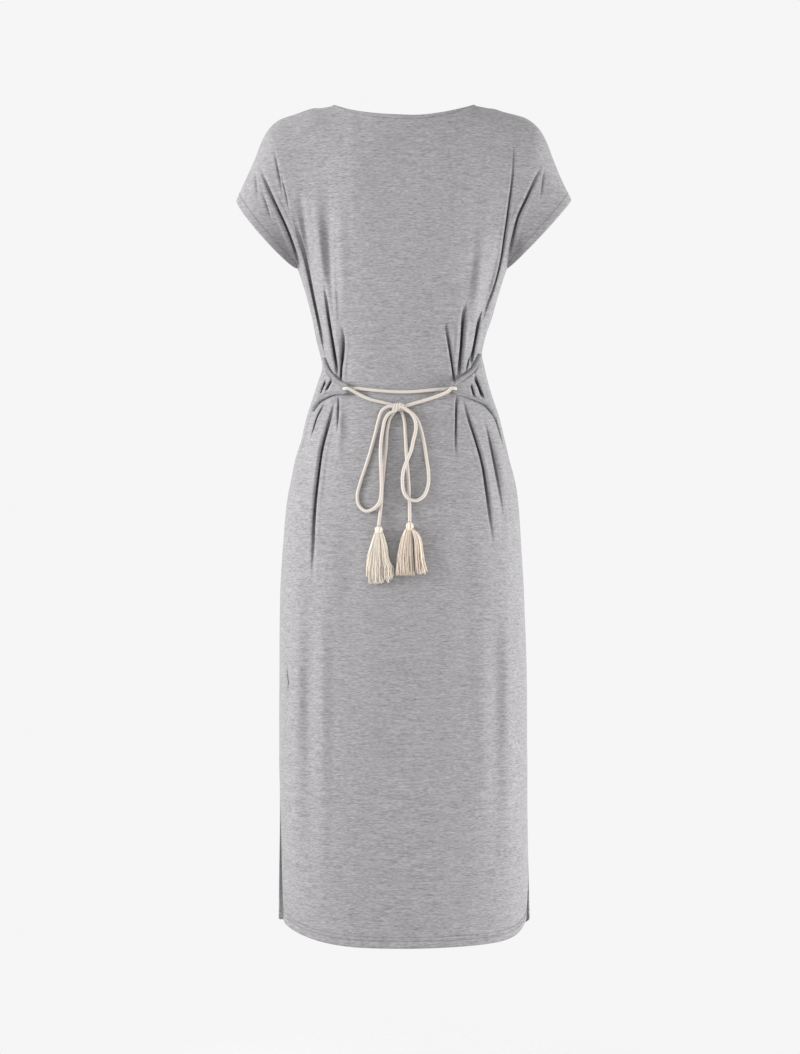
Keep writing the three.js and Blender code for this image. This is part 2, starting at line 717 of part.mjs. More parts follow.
const BOW_RIGHT_STOPS = [
  { x: 1, drop: 437.4, off: 7.6 },
  { x: 9, drop: 443.6, off: 7.2 },
  { x: 15, drop: 453.5, off: 6 },
  { x: 16.2, drop: 466, off: 5 },
  { x: 13, drop: 481, off: 5.2 },
  { x: 9, drop: 498, off: 5.8 },
  { x: 3.5, drop: 511, off: 6.2 },
  { x: -1, drop: 524, off: 5.6 },
  { x: -2.4, drop: 540, off: 5 },
  { x: 0, drop: 555, off: 5.6 },
  { x: 7, drop: 563.6, off: 6.2 },
  { x: 18, drop: 565, off: 4 },
  { x: 27.5, drop: 558, off: 1.5 },
  { x: 33, drop: 544 },
  { x: 33.4, drop: 526 },
  { x: 30.8, drop: 507 },
  { x: 27.5, drop: 486 },
  { x: 23, drop: 466, off: 0.6 },
  { x: 17.5, drop: 452, off: 1.5 },
  { x: 11, drop: 444, off: 1.5 },
  { x: 2.4, drop: 439.8, off: 1.5 },
];

/**
 * The two tassels: x and drop of the head's top, head and neck sizes, length below the head and
 * half width of the brush at its end.
 */
const TASSEL_LEFT = {
  name: 'tassel_left',
  x: -35,
  top: 600.5,
  headRadius: 5.7,
  headHeight: 9,
  neckRadius: 4,
  length: 69,
  spread: 14.5,
};
const TASSEL_RIGHT = {
  name: 'tassel_right',
  x: 7.6,
  top: 595,
  headRadius: 5.4,
  headHeight: 12,
  neckRadius: 3.6,
  length: 60,
  spread: 17,
};
const TASSEL_HALF_DEPTH = 5;
const TASSEL_GAP = 0.4;
// Share of the brush at which it is felt for against the cloth, and where a strand's bend lies
const BRUSH_CONTACT = 0.9;
const STRAND_BEND = 0.45;
const STRAND_RADIUS = 0.75;
const STRAND_TIP_RADIUS = 0.6;
const STRAND_RINGS = [
  { count: 17, share: 1 },
  { count: 12, share: 0.64 },
  { count: 6, share: 0.28 },
];

/** y of a tassel's axis, so that neither its head nor its brush meets the cloth. */
function tasselDepth(tassel) {
  const middle = tassel.top + tassel.headHeight / 2;
  const head = restingDepth(tassel.x, middle, tassel.headRadius + REST_CLEARANCE);
  const end = tassel.top + tassel.headHeight + tassel.length * BRUSH_CONTACT;
  const brush = restingDepth(tassel.x, end, TASSEL_HALF_DEPTH + STRAND_RADIUS + REST_CLEARANCE);
  return Math.min(head, brush);
}

/** Stops of a tail: from the knot down to the top of its tassel. */
function tailStops(stops, tassel, depth) {
  return [...stops, { x: tassel.x, drop: tassel.top - TASSEL_GAP, y: depth }];
}

const depthLeft = tasselDepth(TASSEL_LEFT);
const depthRight = tasselDepth(TASSEL_RIGHT);
const TAIL_LEFT_STOPS = tailStops(
  [
    { x: -12.6, drop: 441 },
    { x: -19.4, drop: 451 },
    { x: -23.4, drop: 469 },
    { x: -24.8, drop: 492 },
    { x: -27.6, drop: 518 },
    { x: -30, drop: 546 },
    { x: -32, drop: 574 },
  ],
  TASSEL_LEFT,
  depthLeft,
);
const TAIL_RIGHT_STOPS = tailStops(
  [
    { x: -3.6, drop: 441.4 },
    { x: 0.2, drop: 454 },
    { x: 1.8, drop: 474 },
    { x: 3, drop: 500 },
    { x: 5.2, drop: 526 },
    { x: 6.8, drop: 552 },
    { x: 7.5, drop: 576 },
  ],
  TASSEL_RIGHT,
  depthRight,
);

/** Closed solid of a geometry, for joining. */
function solidOf(geometry) {
  const bare = new THREE.BufferGeometry();
  bare.setAttribute('position', geometry.getAttribute('position'));
  if (geometry.index) bare.setIndex(geometry.index);
  const merged = mergeVertices(bare, 1e-4);
  return new wasm.Manifold(
    new wasm.Mesh({
      numProp: 3,
      vertProperties: new Float32Array(merged.getAttribute('position').array),
      triVerts: new Uint32Array(merged.index.array),
    }),
  );
}

function geometryOf(solid) {
  const mesh = solid.getMesh();
  const geometry = new THREE.BufferGeometry();
  geometry.setAttribute('position', new THREE.BufferAttribute(new Float32Array(mesh.vertProperties), 3));
  geometry.setIndex(new THREE.BufferAttribute(new Uint32Array(mesh.triVerts), 1));
  geometry.computeVertexNormals();
  return geometry;
}

/** One thread of a tassel: a slim three-sided lock from its root in the head to its tip. */
function strandGeometry(root, middle, tip) {
  const points = [];
  for (const centre of [root, middle, tip]) {
    const radius = centre === tip ? STRAND_TIP_RADIUS : STRAND_RADIUS;
    for (let k = 0; k < 3; k += 1) {
      const angle = (k / 3) * 2 * Math.PI;
      const corner = new THREE.Vector3(radius * Math.cos(angle), radius * Math.sin(angle), 0);
      points.push(corner.add(centre));
    }
  }
  const triangles = [0, 1, 2, 6, 8, 7];
  for (const level of [0, 3]) {
    for (let k = 0; k < 3; k += 1) {
      const next = (k + 1) % 3;
      triangles.push(level + k, level + 3 + k, level + 3 + next, level + k, level + 3 + next, level + next);
    }
  }
  const geometry = new THREE.BufferGeometry().setFromPoints(points);
  geometry.setIndex(triangles);
  return geometry;
}

/** Tassel in its own frame: the top of its head at the origin, its brush hanging down. */
function tasselGeometry(tassel) {
  const { headRadius, headHeight, neckRadius, length, spread } = tassel;
  const profile = [
    [0, -headHeight - 3],
    [neckRadius * 1.1, -headHeight - 3],
    [neckRadius, -headHeight],
    [headRadius * 0.94, -headHeight * 0.62],
    [headRadius, -headHeight * 0.35],
    [headRadius * 0.62, -0.4],
    [0, 0],
  ];
  const head = new THREE.LatheGeometry(
    profile.map(([radius, z]) => new THREE.Vector2(radius, z)),
    12,
  ).rotateX(Math.PI / 2);
  const solids = [solidOf(head)];
  for (const ring of STRAND_RINGS) {
    for (let k = 0; k < ring.count; k += 1) {
      const angle = ((k + ring.share) / ring.count) * 2 * Math.PI;
      const x = Math.cos(angle) * ring.share;
      const y = Math.sin(angle) * ring.share;
      const uneven = 1 - 0.07 * Math.abs(Math.sin(5 * angle + 3 * ring.share));
      const root = new THREE.Vector3(x * neckRadius * 0.8, y * neckRadius * 0.8, -headHeight - 1);
      const bend = -headHeight - length * STRAND_BEND;
      const middle = new THREE.Vector3(x * spread * 0.72, y * TASSEL_HALF_DEPTH * 0.95, bend);
      const end = -headHeight - length * uneven;
      const tip = new THREE.Vector3(x * spread, y * TASSEL_HALF_DEPTH, end);
      solids.push(solidOf(strandGeometry(root, middle, tip)));
    }
  }
  return geometryOf(wasm.Manifold.union(solids));
}

function tasselMesh(tassel, depth) {
  const mesh = namedMesh(tassel.name, tasselGeometry(tassel), cotton);
  mesh.position.set(tassel.x, depth, -tassel.top);
  return mesh;
}

function knotMesh() {
  const geometry = new THREE.SphereGeometry(1, 14, 8);
  geometry.scale(KNOT.halfWidth, KNOT.halfHeight, KNOT.halfDepth);
  geometry.rotateX(Math.PI / 2);
  const mesh = namedMesh('bow_knot', geometry, cotton);
  const depth = restingDepth(KNOT.x, KNOT.drop, KNOT.halfDepth + REST_CLEARANCE);
  mesh.position.set(KNOT.x, depth, -KNOT.drop);
  return mesh;
}

dress.add(namedMesh('loop_left', tubeOver(LOOP_LEFT_STOPS, LOOP_DIAMETER), jersey));
dress.add(namedMesh('loop_right', tubeOver(LOOP_RIGHT_STOPS, LOOP_DIAMETER), jersey));
dress.add(namedMesh('cord_waist', tubeOver(WAIST_CORD_STOPS, CORD_DIAMETER), cotton));
dress.add(namedMesh('bow_left', tubeOver(BOW_LEFT_STOPS, CORD_DIAMETER), cotton));
dress.add(namedMesh('bow_right', tubeOver(BOW_RIGHT_STOPS, CORD_DIAMETER), cotton));
dress.add(namedMesh('tail_left', tubeOver(TAIL_LEFT_STOPS, CORD_DIAMETER), cotton));
dress.add(namedMesh('tail_right', tubeOver(TAIL_RIGHT_STOPS, CORD_DIAMETER), cotton));
dress.add(knotMesh());
dress.add(tasselMesh(TASSEL_LEFT, depthLeft), tasselMesh(TASSEL_RIGHT, depthRight));

export default dress;
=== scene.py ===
"""Looks of a t-shirt dress in grey marl jersey, drawn in behind the waist by a tasselled cord.

Everything is placed in the part's own frame: +Z is up, the back of the dress faces -Y and the
wearer's left is -X. Tables are in millimetres, MM turns them into metres, and a drop is measured
down from the neck points.
"""

import logging
import math
from dataclasses import dataclass, field
from enum import Enum
from typing import Sequence

import bpy
import numpy as np
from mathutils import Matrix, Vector
from mathutils.bvhtree import BVHTree


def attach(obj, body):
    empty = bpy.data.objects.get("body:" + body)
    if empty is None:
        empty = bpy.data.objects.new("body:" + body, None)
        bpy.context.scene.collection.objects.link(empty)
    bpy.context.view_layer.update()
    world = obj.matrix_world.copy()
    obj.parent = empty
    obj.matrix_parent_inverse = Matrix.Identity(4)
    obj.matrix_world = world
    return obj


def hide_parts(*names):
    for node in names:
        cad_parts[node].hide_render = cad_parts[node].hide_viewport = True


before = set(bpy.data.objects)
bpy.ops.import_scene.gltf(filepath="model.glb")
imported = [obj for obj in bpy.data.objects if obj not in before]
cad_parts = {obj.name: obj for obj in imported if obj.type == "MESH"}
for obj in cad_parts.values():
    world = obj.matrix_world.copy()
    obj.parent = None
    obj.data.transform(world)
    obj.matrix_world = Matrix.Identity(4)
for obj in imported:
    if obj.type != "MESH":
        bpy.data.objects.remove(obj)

MM = 0.001
log = logging.getLogger("dress")

# Worn form of the cloth: that of the solids, apart from the hem's corners, which hang up to
# 12 mm lower here, the slits, which open wider at the back, and the edges of the sleeves

HEM_DROP = 1181.0
HEM_RISE_REACH = 260.0
# rise of the hem towards each side slit: an even tilt, and a rounded corner with its power
HEM_LEFT = (0.5, 24.0, 2.6)
HEM_RIGHT = (4.0, 21.5, 8.0)
YOKE_DROP = 270.0
UNDERARM_DROP = 232.0
UNDERARM_SHARE = 0.84
SLIT_TOP = 930.0
# powers with which the left and right slits widen towards the hem
SLIT_FLARE = (0.6, 1.7)
NECK_HALF_WIDTH = 100.0
NECK_SHARE = 0.48
NECK_POINT_RISE = 1.6
YOKE_LEAVE = 0.85
YOKE_ARRIVE = 1.05
YOKE_ARRIVE_REACH = 8.0
SLEEVE_PULL_FROM = 0.5
SQUARENESS = 2.25
SEAM_GAP = -0.2
# shares of a sleeve's added fullness that go outwards and down
SLEEVE_OUT = 0.6
SLEEVE_DOWN = 0.8
# share of the yoke in which the neck hem and the shoulder seam lie
TOP_SHARE = 0.2
# depths of the side seam and the shoulder seam, and the width of both
SIDE_SINK = 1.1
SHOULDER_SINK = 0.9
SINK_WIDTH = 1.8
# where the kink below the neck points is eased: first share, run-in, middle, half width and edge
EASE_FROM = 0.01
EASE_RUN = 0.12
EASE_MIDDLE = 0.5
EASE_HALF = 0.22
EASE_EDGE = 0.1
# steps in turn and drop over which the direction of the side seam is taken
SEAM_TURN_STEP = 0.03
SEAM_DROP_STEP = 2.5
# ripples of the cloth: how many, their lengths, spread of direction, and their drift sideways
RIPPLE_COUNT = 14
RIPPLE_LENGTHS = (38, 130)
RIPPLE_SPREAD = 0.5
DRIFT_LENGTHS = (90, 260)
DRIFT = 1.4
# flank beside a soft fold: its height and its place in half widths
SOFT_FLANK = (0.26, 1.95)
# core and skirt of a slot: the height of each, then the width of the skirt
SLOT_CORE = (0.93, 0.07, 2.2)
# shoulder beside a slot and its lean: the height, place and width of each
SLOT_SHOULDER = (0.09, 2.5, 0.95)
SLOT_LEAN = (0.6, 1.4, 0.6)

# drop, left and right half widths, back and front depths, and how far the seam is drawn back
SECTIONS = (
    (225, 155, 150, 86, 112, 0),
    (248, 147, 142, 86, 114, 0),
    (277, 138, 133, 84, 113, 1),
    (305, 131, 125, 81, 109, 4),
    (334, 126, 116, 77, 103, 9),
    (356, 120, 112, 74, 99, 15),
    (372, 117, 115, 73, 97, 21),
    (391, 122, 119, 74, 97, 22),
    (420, 131, 127, 79, 99, 22),
    (448, 140, 137, 85, 102, 18),
    (477, 147, 144, 92, 104, 15),
    (506, 156, 151, 98, 106, 13),
    (534, 161, 158, 102, 107, 10),
    (563, 166, 163, 106, 108, 7),
    (620, 172, 167, 109, 109, 4),
    (706, 177, 172, 110, 109, 1),
    (849, 178, 176, 111, 110, 0),
    (992, 178, 176, 112, 111, 0),
    (1135, 180, 180, 113, 112, 0),
    (1190, 180, 181, 113, 112, 0),
)

# reach from the centre and drop of the shoulder line, from the neck point to the sleeve tip
SHOULDER = (
    (100, -1.6), (108, 1.4), (116, 3.4), (128, 3), (144, 8), (160, 12.5),
    (177, 18.5), (192, 31), (203, 49), (214, 77), (226, 106), (239, 134),
)


class Fold(Enum):
    """Section across a fold.

    A soft one is a rounded ridge or hollow. A slot is a deep narrow gap between two rolls of
    cloth, whose shoulders lean over it. A seat is a plain groove in which a fabric loop lies.
    """

    SOFT = "soft"
    SLOT = "slot"
    SEAT = "seat"

    def section(self, away: np.ndarray) -> np.ndarray:
        """Height of the fold at distances from its middle, counted in half widths."""
        if self is Fold.SOFT:
            height, place = SOFT_FLANK
            return np.exp(-away ** 2) - height * np.exp(-((away - place) ** 2))
        if self is Fold.SEAT:
            return np.exp(-away ** 4)
        core, skirt, spread = SLOT_CORE
        slot = core * np.exp(-away ** 4) + skirt * np.exp(-(away / spread) ** 2)
        height, place, width = SLOT_SHOULDER
        return slot - height * np.exp(-((away - place) / width) ** 2)

    def lean(self, away: np.ndarray) -> np.ndarray:
        """Share of a half width by which the shoulders lean over the fold's middle."""
        share, place, width = SLOT_LEAN
        return share * np.exp(-((away - place) / width) ** 2) if self is Fold.SLOT else 0.0 * away


@dataclass(frozen=True)
class Crease:
    """One fold of the worn cloth.

    course is its line as x and drop, rise its height out of the cloth (a trough is negative),
    width its half width and peak the share of its length at which it is fullest.
    """

    name: str
    course: tuple[tuple[float, float], ...]
    rise: float
    width: float
    peak: float
    section: Fold


BACK_CREASES = (
    Crease("left blade ridge", ((-143, 99), (-137, 150), (-130, 202), (-123, 251), (-114, 306)),
           2.4, 3.4, 0.55, Fold.SOFT),
    Crease("left blade slot",
           ((-158, 150), (-148, 190), (-140, 221), (-130, 267), (-119.5, 314), (-111, 352), (-103, 384)),
           -14, 3.0, 0.6, Fold.SLOT),
    Crease("left blade hollow", ((-146, 110), (-137, 190), (-129, 240), (-118, 300), (-106, 360)),
           -11, 8.5, 0.5, Fold.SOFT),
    Crease("left inner ridge", ((-99, 140), (-99, 202), (-97, 267), (-94, 354)),
           2.4, 2.4, 0.6, Fold.SOFT),
    Crease("left inner hollow", ((-107, 110), (-106, 202), (-103, 260), (-96, 330)),
           -8.5, 9, 0.55, Fold.SOFT),
    Crease("left sleeve line", ((-184, 58), (-177, 100), (-168, 148)), -3, 1.6, 0.5, Fold.SLOT),
    Crease("left sleeve inner line", ((-176, 84), (-168, 125), (-158, 170)), -2.4, 1.5, 0.5, Fold.SLOT),
    Crease("left deep gather", ((-114, 250), (-111, 264), (-105.5, 308), (-98, 354), (-90.5, 402)),
           -23, 2.3, 0.62, Fold.SLOT),
    Crease("left inner gather", ((-85, 318), (-85, 350), (-88, 383), (-88.5, 404)),
           -19, 2.0, 0.7, Fold.SLOT),
    Crease("left gather roll", ((-106, 290), (-104, 335), (-99, 380)), 2.5, 4, 0.6, Fold.SOFT),
    Crease("left inner roll", ((-92, 300), (-92, 345), (-91, 388)), 2, 3.6, 0.6, Fold.SOFT),
    Crease("right long crease",
           ((155, 46), (152.5, 105), (147, 149), (141.5, 190), (136.7, 227), (129, 258), (115, 295),
            (104, 329)),
           -12, 1.7, 0.52, Fold.SLOT),
    Crease("right blade hollow", ((140, 170), (130, 226), (119, 267), (109, 310), (101, 345)),
           -9, 7, 0.6, Fold.SOFT),
    Crease("right blade roll", ((113, 160), (106, 240), (94, 316)), 4.5, 6.5, 0.55, Fold.SOFT),
    Crease("right side gather", ((110, 285), (104, 314), (98, 350), (92, 382)),
           -22, 2.5, 0.55, Fold.SLOT),
    Crease("right deep gather", ((86, 282), (82.5, 306), (79.4, 354), (74, 404)),
           -24, 2.5, 0.5, Fold.SLOT),
    Crease("right inner gather", ((54, 300), (63, 350), (71, 406)), -15, 1.9, 0.75, Fold.SLOT),
    Crease("right pinch", ((95, 345), (91, 366), (86, 386)), -9, 1.4, 0.6, Fold.SLOT),
    Crease("right gather roll", ((92, 296), (88, 330), (83, 378)), 3, 4, 0.6, Fold.SOFT),
    Crease("left upper seat",
           ((-123, 346), (-113.5, 369), (-107, 380), (-100, 389.5), (-90.3, 398), (-83, 405)),
           -5, 3.9, 0.5, Fold.SEAT),
    Crease("left lower seat", ((-86, 413.5), (-98, 414.2), (-110, 418), (-122, 425), (-131, 439)),
           -5, 3.9, 0.5, Fold.SEAT),
    Crease("right upper seat", ((113, 342), (104.8, 365), (96.7, 381), (81, 393.5), (71, 403)),
           -5, 3.9, 0.5, Fold.SEAT),
    Crease("right lower seat", ((73, 415), (88.7, 418.5), (112.9, 427), (123, 437), (133, 454)),
           -5, 3.4, 0.45, Fold.SEAT),
    Crease("left skirt gather",
           ((-90, 414), (-99, 436), (-106, 460), (-114, 492), (-119, 525), (-122, 551), (-125, 588),
            (-126, 630), (-126, 690)),
           -19, 2.4, 0.35, Fold.SLOT),
    Crease("left skirt soft", ((-91, 414), (-92, 446), (-92, 482)), -6, 1.8, 0.3, Fold.SLOT),
    Crease("left side slot", ((-108, 424), (-122, 446), (-133, 486)), -9, 1.6, 0.4, Fold.SLOT),
    Crease("left loop slot", ((-100, 393), (-106, 402), (-111, 411)), -16, 1.9, 0.5, Fold.SLOT),
    Crease("left upper slot", ((-109, 392), (-115, 404), (-121, 416)), -16, 1.9, 0.5, Fold.SLOT),
    Crease("left hip fold", ((-128, 440), (-142, 492), (-149, 560)), -4, 6, 0.35, Fold.SOFT),
    Crease("left skirt roll", ((-90, 420), (-90, 466), (-92, 530)), 3, 6, 0.35, Fold.SOFT),
    Crease("left outer roll", ((-108, 440), (-122, 500), (-133, 600)), 3.5, 6, 0.4, Fold.SOFT),
    Crease("left low ridge", ((-149, 600), (-151, 899), (-148, 1164)), 3, 10, 0.4, Fold.SOFT),
    Crease("left low hollow", ((-131, 700), (-133, 860), (-130, 1100)), -2.5, 9, 0.3, Fold.SOFT),
    Crease("left low inner ridge", ((-113, 630), (-113, 899), (-112, 1150)), 3, 9, 0.4, Fold.SOFT),
    Crease("left middle hollow", ((-78, 520), (-74, 760), (-76, 1010)), -2, 14, 0.3, Fold.SOFT),
    Crease("left small crease", ((-166, 786), (-162, 815), (-157, 846)), -5, 2, 0.5, Fold.SLOT),
    Crease("right skirt soft", ((73, 414), (72, 450), (71, 512)), -10, 1.7, 0.3, Fold.SLOT),
    Crease("right skirt gather",
           ((79, 416), (88, 445), (99, 480), (109, 517), (114, 550), (119, 590), (124, 640)),
           -15, 2.1, 0.35, Fold.SLOT),
    Crease("right skirt roll",
           ((96, 446), (108, 487), (118, 532), (125, 574), (132, 626)),
           3.5, 5, 0.45, Fold.SOFT),
    Crease("right side ridge", ((120, 448), (130, 480), (137, 515), (143, 543), (148, 580)),
           4, 5, 0.5, Fold.SOFT),
    Crease("right side trough", ((106, 436), (118, 474), (126, 512), (133, 553), (140, 612)),
           -7, 2.6, 0.4, Fold.SLOT),
    Crease("right seam fold", ((122, 432), (134, 463), (144, 505)), -7, 1.8, 0.4, Fold.SLOT),
    Crease("right upper slot", ((94, 400), (96, 408), (99, 419)), -15, 1.8, 0.5, Fold.SLOT),
    Crease("right long slot", ((97, 384), (105, 402), (113, 423)), -24, 2.7, 0.55, Fold.SLOT),
    Crease("right hip ridge", ((170, 680), (162, 751), (158, 800)), 3, 6, 0.5, Fold.SOFT),
    Crease("right low ridge", ((145, 630), (145, 899), (145, 1150)), 3, 10, 0.4, Fold.SOFT),
    Crease("right low hollow", ((126, 690), (127, 850), (125, 1080)), -2.5, 10, 0.3, Fold.SOFT),
    Crease("right middle hollow", ((80, 540), (84, 760), (82, 980)), -2, 14, 0.3, Fold.SOFT),
    Crease("left sleeve drag",
           ((-207, 78), (-199, 103), (-190, 127), (-180, 149), (-163, 186), (-151, 221), (-141, 251)),
           -14, 2.3, 0.62, Fold.SLOT),
    Crease("right sleeve drag",
           ((196, 84), (183, 115), (169, 146), (160, 165), (154, 190), (148, 220), (145, 242)),
           -14, 2.3, 0.5, Fold.SLOT),
    Crease("left sleeve fan", ((-211, 86), (-208, 118), (-205, 152)), -2.6, 1.5, 0.5, Fold.SLOT),
    Crease("left sleeve lower fan", ((-201, 124), (-194, 146), (-185, 176)), -2.4, 1.5, 0.5, Fold.SLOT),
    Crease("right sleeve fan", ((199, 84), (195, 116), (191, 150)), -2.4, 1.6, 0.5, Fold.SLOT),
)

FRONT_CREASES = (
    Crease("left bust fold", ((-122, 150), (-110, 280), (-96, 402)), -7, 9, 0.65, Fold.SOFT),
    Crease("right bust fold", ((120, 140), (105, 275), (92, 400)), -7, 9, 0.6, Fold.SOFT),
    Crease("left inner bust fold", ((-88, 230), (-92, 330), (-96, 405)), -4, 7, 0.7, Fold.SOFT),
    Crease("right inner bust fold", ((84, 250), (88, 335), (90, 405)), -4, 7, 0.7, Fold.SOFT),
    Crease("left sleeve fold", ((-196, 60), (-170, 140), (-156, 225)), -7, 7, 0.6, Fold.SOFT),
    Crease("right sleeve fold", ((196, 70), (168, 145), (150, 232)), -7, 7, 0.6, Fold.SOFT),
    Crease("left skirt fold", ((-95, 404), (-118, 600), (-126, 900)), -6, 11, 0.25, Fold.SOFT),
    Crease("right skirt fold", ((94, 404), (116, 590), (122, 860)), -6, 11, 0.28, Fold.SOFT),
    Crease("left hip fold", ((-104, 410), (-134, 520), (-146, 640)), -5, 8, 0.35, Fold.SOFT),
    Crease("right hip fold", ((102, 412), (130, 515), (144, 620)), -5, 8, 0.35, Fold.SOFT),
    Crease("left low ridge", ((-60, 640), (-66, 900), (-64, 1160)), 2, 14, 0.5, Fold.SOFT),
    Crease("right low ridge", ((72, 600), (66, 900), (68, 1160)), 2, 14, 0.5, Fold.SOFT),
)


# Curves and the ring below the armholes


def smoothstep(values: np.ndarray) -> np.ndarray:
    """Soft step from 0 to 1 over values from 0 to 1."""
    held = np.clip(values, 0.0, 1.0)
    return held * held * (3.0 - 2.0 * held)


def hermite(start: np.ndarray, leave: np.ndarray, end: np.ndarray, arrive: np.ndarray,
            t: np.ndarray) -> np.ndarray:
    """Point of a cubic between two ends.

    Args:
        start: Where the curve starts.
        leave: Its slope there.
        end: Where it ends.
        arrive: Its slope there.
        t: Share of the way along it.

    Returns:
        The point for each share.
    """
    t2 = t * t
    t3 = t2 * t
    return ((2 * t3 - 3 * t2 + 1) * start + (t3 - 2 * t2 + t) * leave
            + (3 * t2 - 2 * t3) * end + (t3 - t2) * arrive)


def column_curve(column: int):
    """Smooth curve of one column of SECTIONS over the drop.

    Args:
        column: Which column.

    Returns:
        A function from drops to that column's values, without overshoot between equal rows.
    """
    table = np.array(SECTIONS, float)
    drops, values = table[:, 0], table[:, column]
    chords = np.diff(values) / np.diff(drops)
    before, after = chords[:-1], chords[1:]
    level = before * after <= 0
    total = np.where(level, 1.0, before + after)
    inner = np.where(level, 0.0, 2 * before * after / total)
    slopes = np.concatenate([chords[:1], inner, chords[-1:]])

    def at(drop: np.ndarray) -> np.ndarray:
        """Value of the column at each drop."""
        i = np.clip(np.searchsorted(drops, drop, side="right") - 1, 0, len(drops) - 2)
        span = drops[i + 1] - drops[i]
        t = np.clip((drop - drops[i]) / span, 0.0, 1.0)
        return hermite(values[i], slopes[i] * span, values[i + 1], slopes[i + 1] * span, t)

    return at


LEFT_HALF, RIGHT_HALF, BACK_DEPTH, FRONT_DEPTH, SEAM_TURN = (column_curve(k) for k in range(1, 6))


def ring_point(turn: np.ndarray, drop: np.ndarray) -> np.ndarray:
    """Point of the closed ring of cloth.

    Args:
        turn: Angle in radians, 0 at centre back and a quarter turn at the right.
        drop: Drop of the ring.

    Returns:
        Points, with x, y and z last.
    """
    across, along = np.sin(turn), np.cos(turn)
    half = np.where(across > 0, RIGHT_HALF(drop), LEFT_HALF(drop))
    depth = np.where(along > 0, BACK_DEPTH(drop), FRONT_DEPTH(drop))
    power = 2.0 / SQUARENESS
    x = half * np.sign(across) * np.abs(across) ** power
    y = -depth * np.sign(along) * np.abs(along) ** power
    return np.stack([x, y, -drop + 0.0 * x], axis=-1)


def smooth_route(points: np.ndarray, step: float, weight: float = 0.25) -> np.ndarray:
    """Even points on a smooth curve through the given ones.

    Args:
        points: Points that the curve passes through.
        step: Length between the returned points.
        weight: 0.25 for a curve without cusps, 0 for an even one.

    Returns:
        Points about a step apart, the first and last among them.
    """
    ends = np.vstack([2 * points[0] - points[1], points, 2 * points[-1] - points[-2]])
    samples = []
    share = np.linspace(0.0, 1.0, 12, endpoint=False)[:, None]
    for i in range(len(points) - 1):
        a, b, c, d = ends[i:i + 4]
        gaps = [max(float(np.sum((q - p) ** 2)) ** weight, 1e-6) for p, q in ((a, b), (b, c), (c, d))]
        leave = (b - a) / gaps[0] - (c - a) / (gaps[0] + gaps[1]) + (c - b) / gaps[1]
        arrive = (c - b) / gaps[1] - (d - b) / (gaps[1] + gaps[2]) + (d - c) / gaps[2]
        samples.append(hermite(b, leave * gaps[1], c, arrive * gaps[1], share))
    dense = np.vstack([*samples, points[-1:]])
    along = np.concatenate([[0.0], np.cumsum(np.linalg.norm(np.diff(dense, axis=0), axis=1))])
    count = max(2, int(round(along[-1] / step)) + 1)
    even = np.linspace(0.0, along[-1], count)
    return np.stack([np.interp(even, along, dense[:, k]) for k in range(points.shape[1])], axis=1)


SHOULDER_LINE = smooth_route(np.array(SHOULDER, float), 0.5, weight=0.0)


# Meshes


def mesh_piece(name: str, points: np.ndarray, faces: Sequence, finish: bpy.types.Material,
               values: dict[str, np.ndarray] | None = None) -> bpy.types.Object:
    """Smooth mesh object that rides on the garment.

    Args:
        name: Name of the piece.
        points: Its points in millimetres.
        faces: Its faces as tuples of point numbers.
        finish: Its material.
        values: Numbers or vectors kept for each point, by name.

    Returns:
        The new object.
    """
    mesh = bpy.data.meshes.new(name)
    mesh.from_pydata((np.asarray(points) * MM).tolist(), [], faces)
    mesh.polygons.foreach_set("use_smooth", np.ones(len(mesh.polygons), bool))
    for key, data in (values or {}).items():
        kind = "FLOAT" if data.ndim == 1 else "FLOAT_VECTOR"
        layer = mesh.attributes.new(key, kind, "POINT")
        layer.data.foreach_set("value" if data.ndim == 1 else "vector", data.astype(np.float32).ravel())
    mesh.materials.append(finish)
    mesh.update()
    piece = bpy.data.objects.new(name, mesh)
    bpy.context.scene.collection.objects.link(piece)
    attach(piece, "root")
    return piece


def route_frames(route: np.ndarray) -> tuple[np.ndarray, np.ndarray, np.ndarray]:
    """Directions along and across a route that don't twist.

    Args:
        route: Points of the route.

    Returns:
        Unit tangents and two unit directions across, one row for each point.
    """
    tangent = np.gradient(route, axis=0)
    tangent /= np.linalg.norm(tangent, axis=1, keepdims=True)
    across = np.cross(tangent[0], (0.0, 1.0, 0.0))
    if np.linalg.norm(across) < 0.1:
        across = np.cross(tangent[0], (1.0, 0.0, 0.0))
    first = []
    for direction in tangent:
        across = across - direction * np.dot(across, direction)
        across = across / np.linalg.norm(across)
        first.append(across)
    side = np.array(first)
    return tangent, side, np.cross(tangent, side)


def tube_faces(rings: int, sides: int) -> list[tuple[int, ...]]:
    """Faces of a closed tube.

    Args:
        rings: Rings of points along it.
        sides: Points in each ring.

    Returns:
        Its side faces and one cap at each end.
    """
    faces = [(i * sides + k, i * sides + (k + 1) % sides,
              (i + 1) * sides + (k + 1) % sides, (i + 1) * sides + k)
             for i in range(rings - 1) for k in range(sides)]
    faces.append(tuple(reversed(range(sides))))
    faces.append(tuple((rings - 1) * sides + k for k in range(sides)))
    return faces


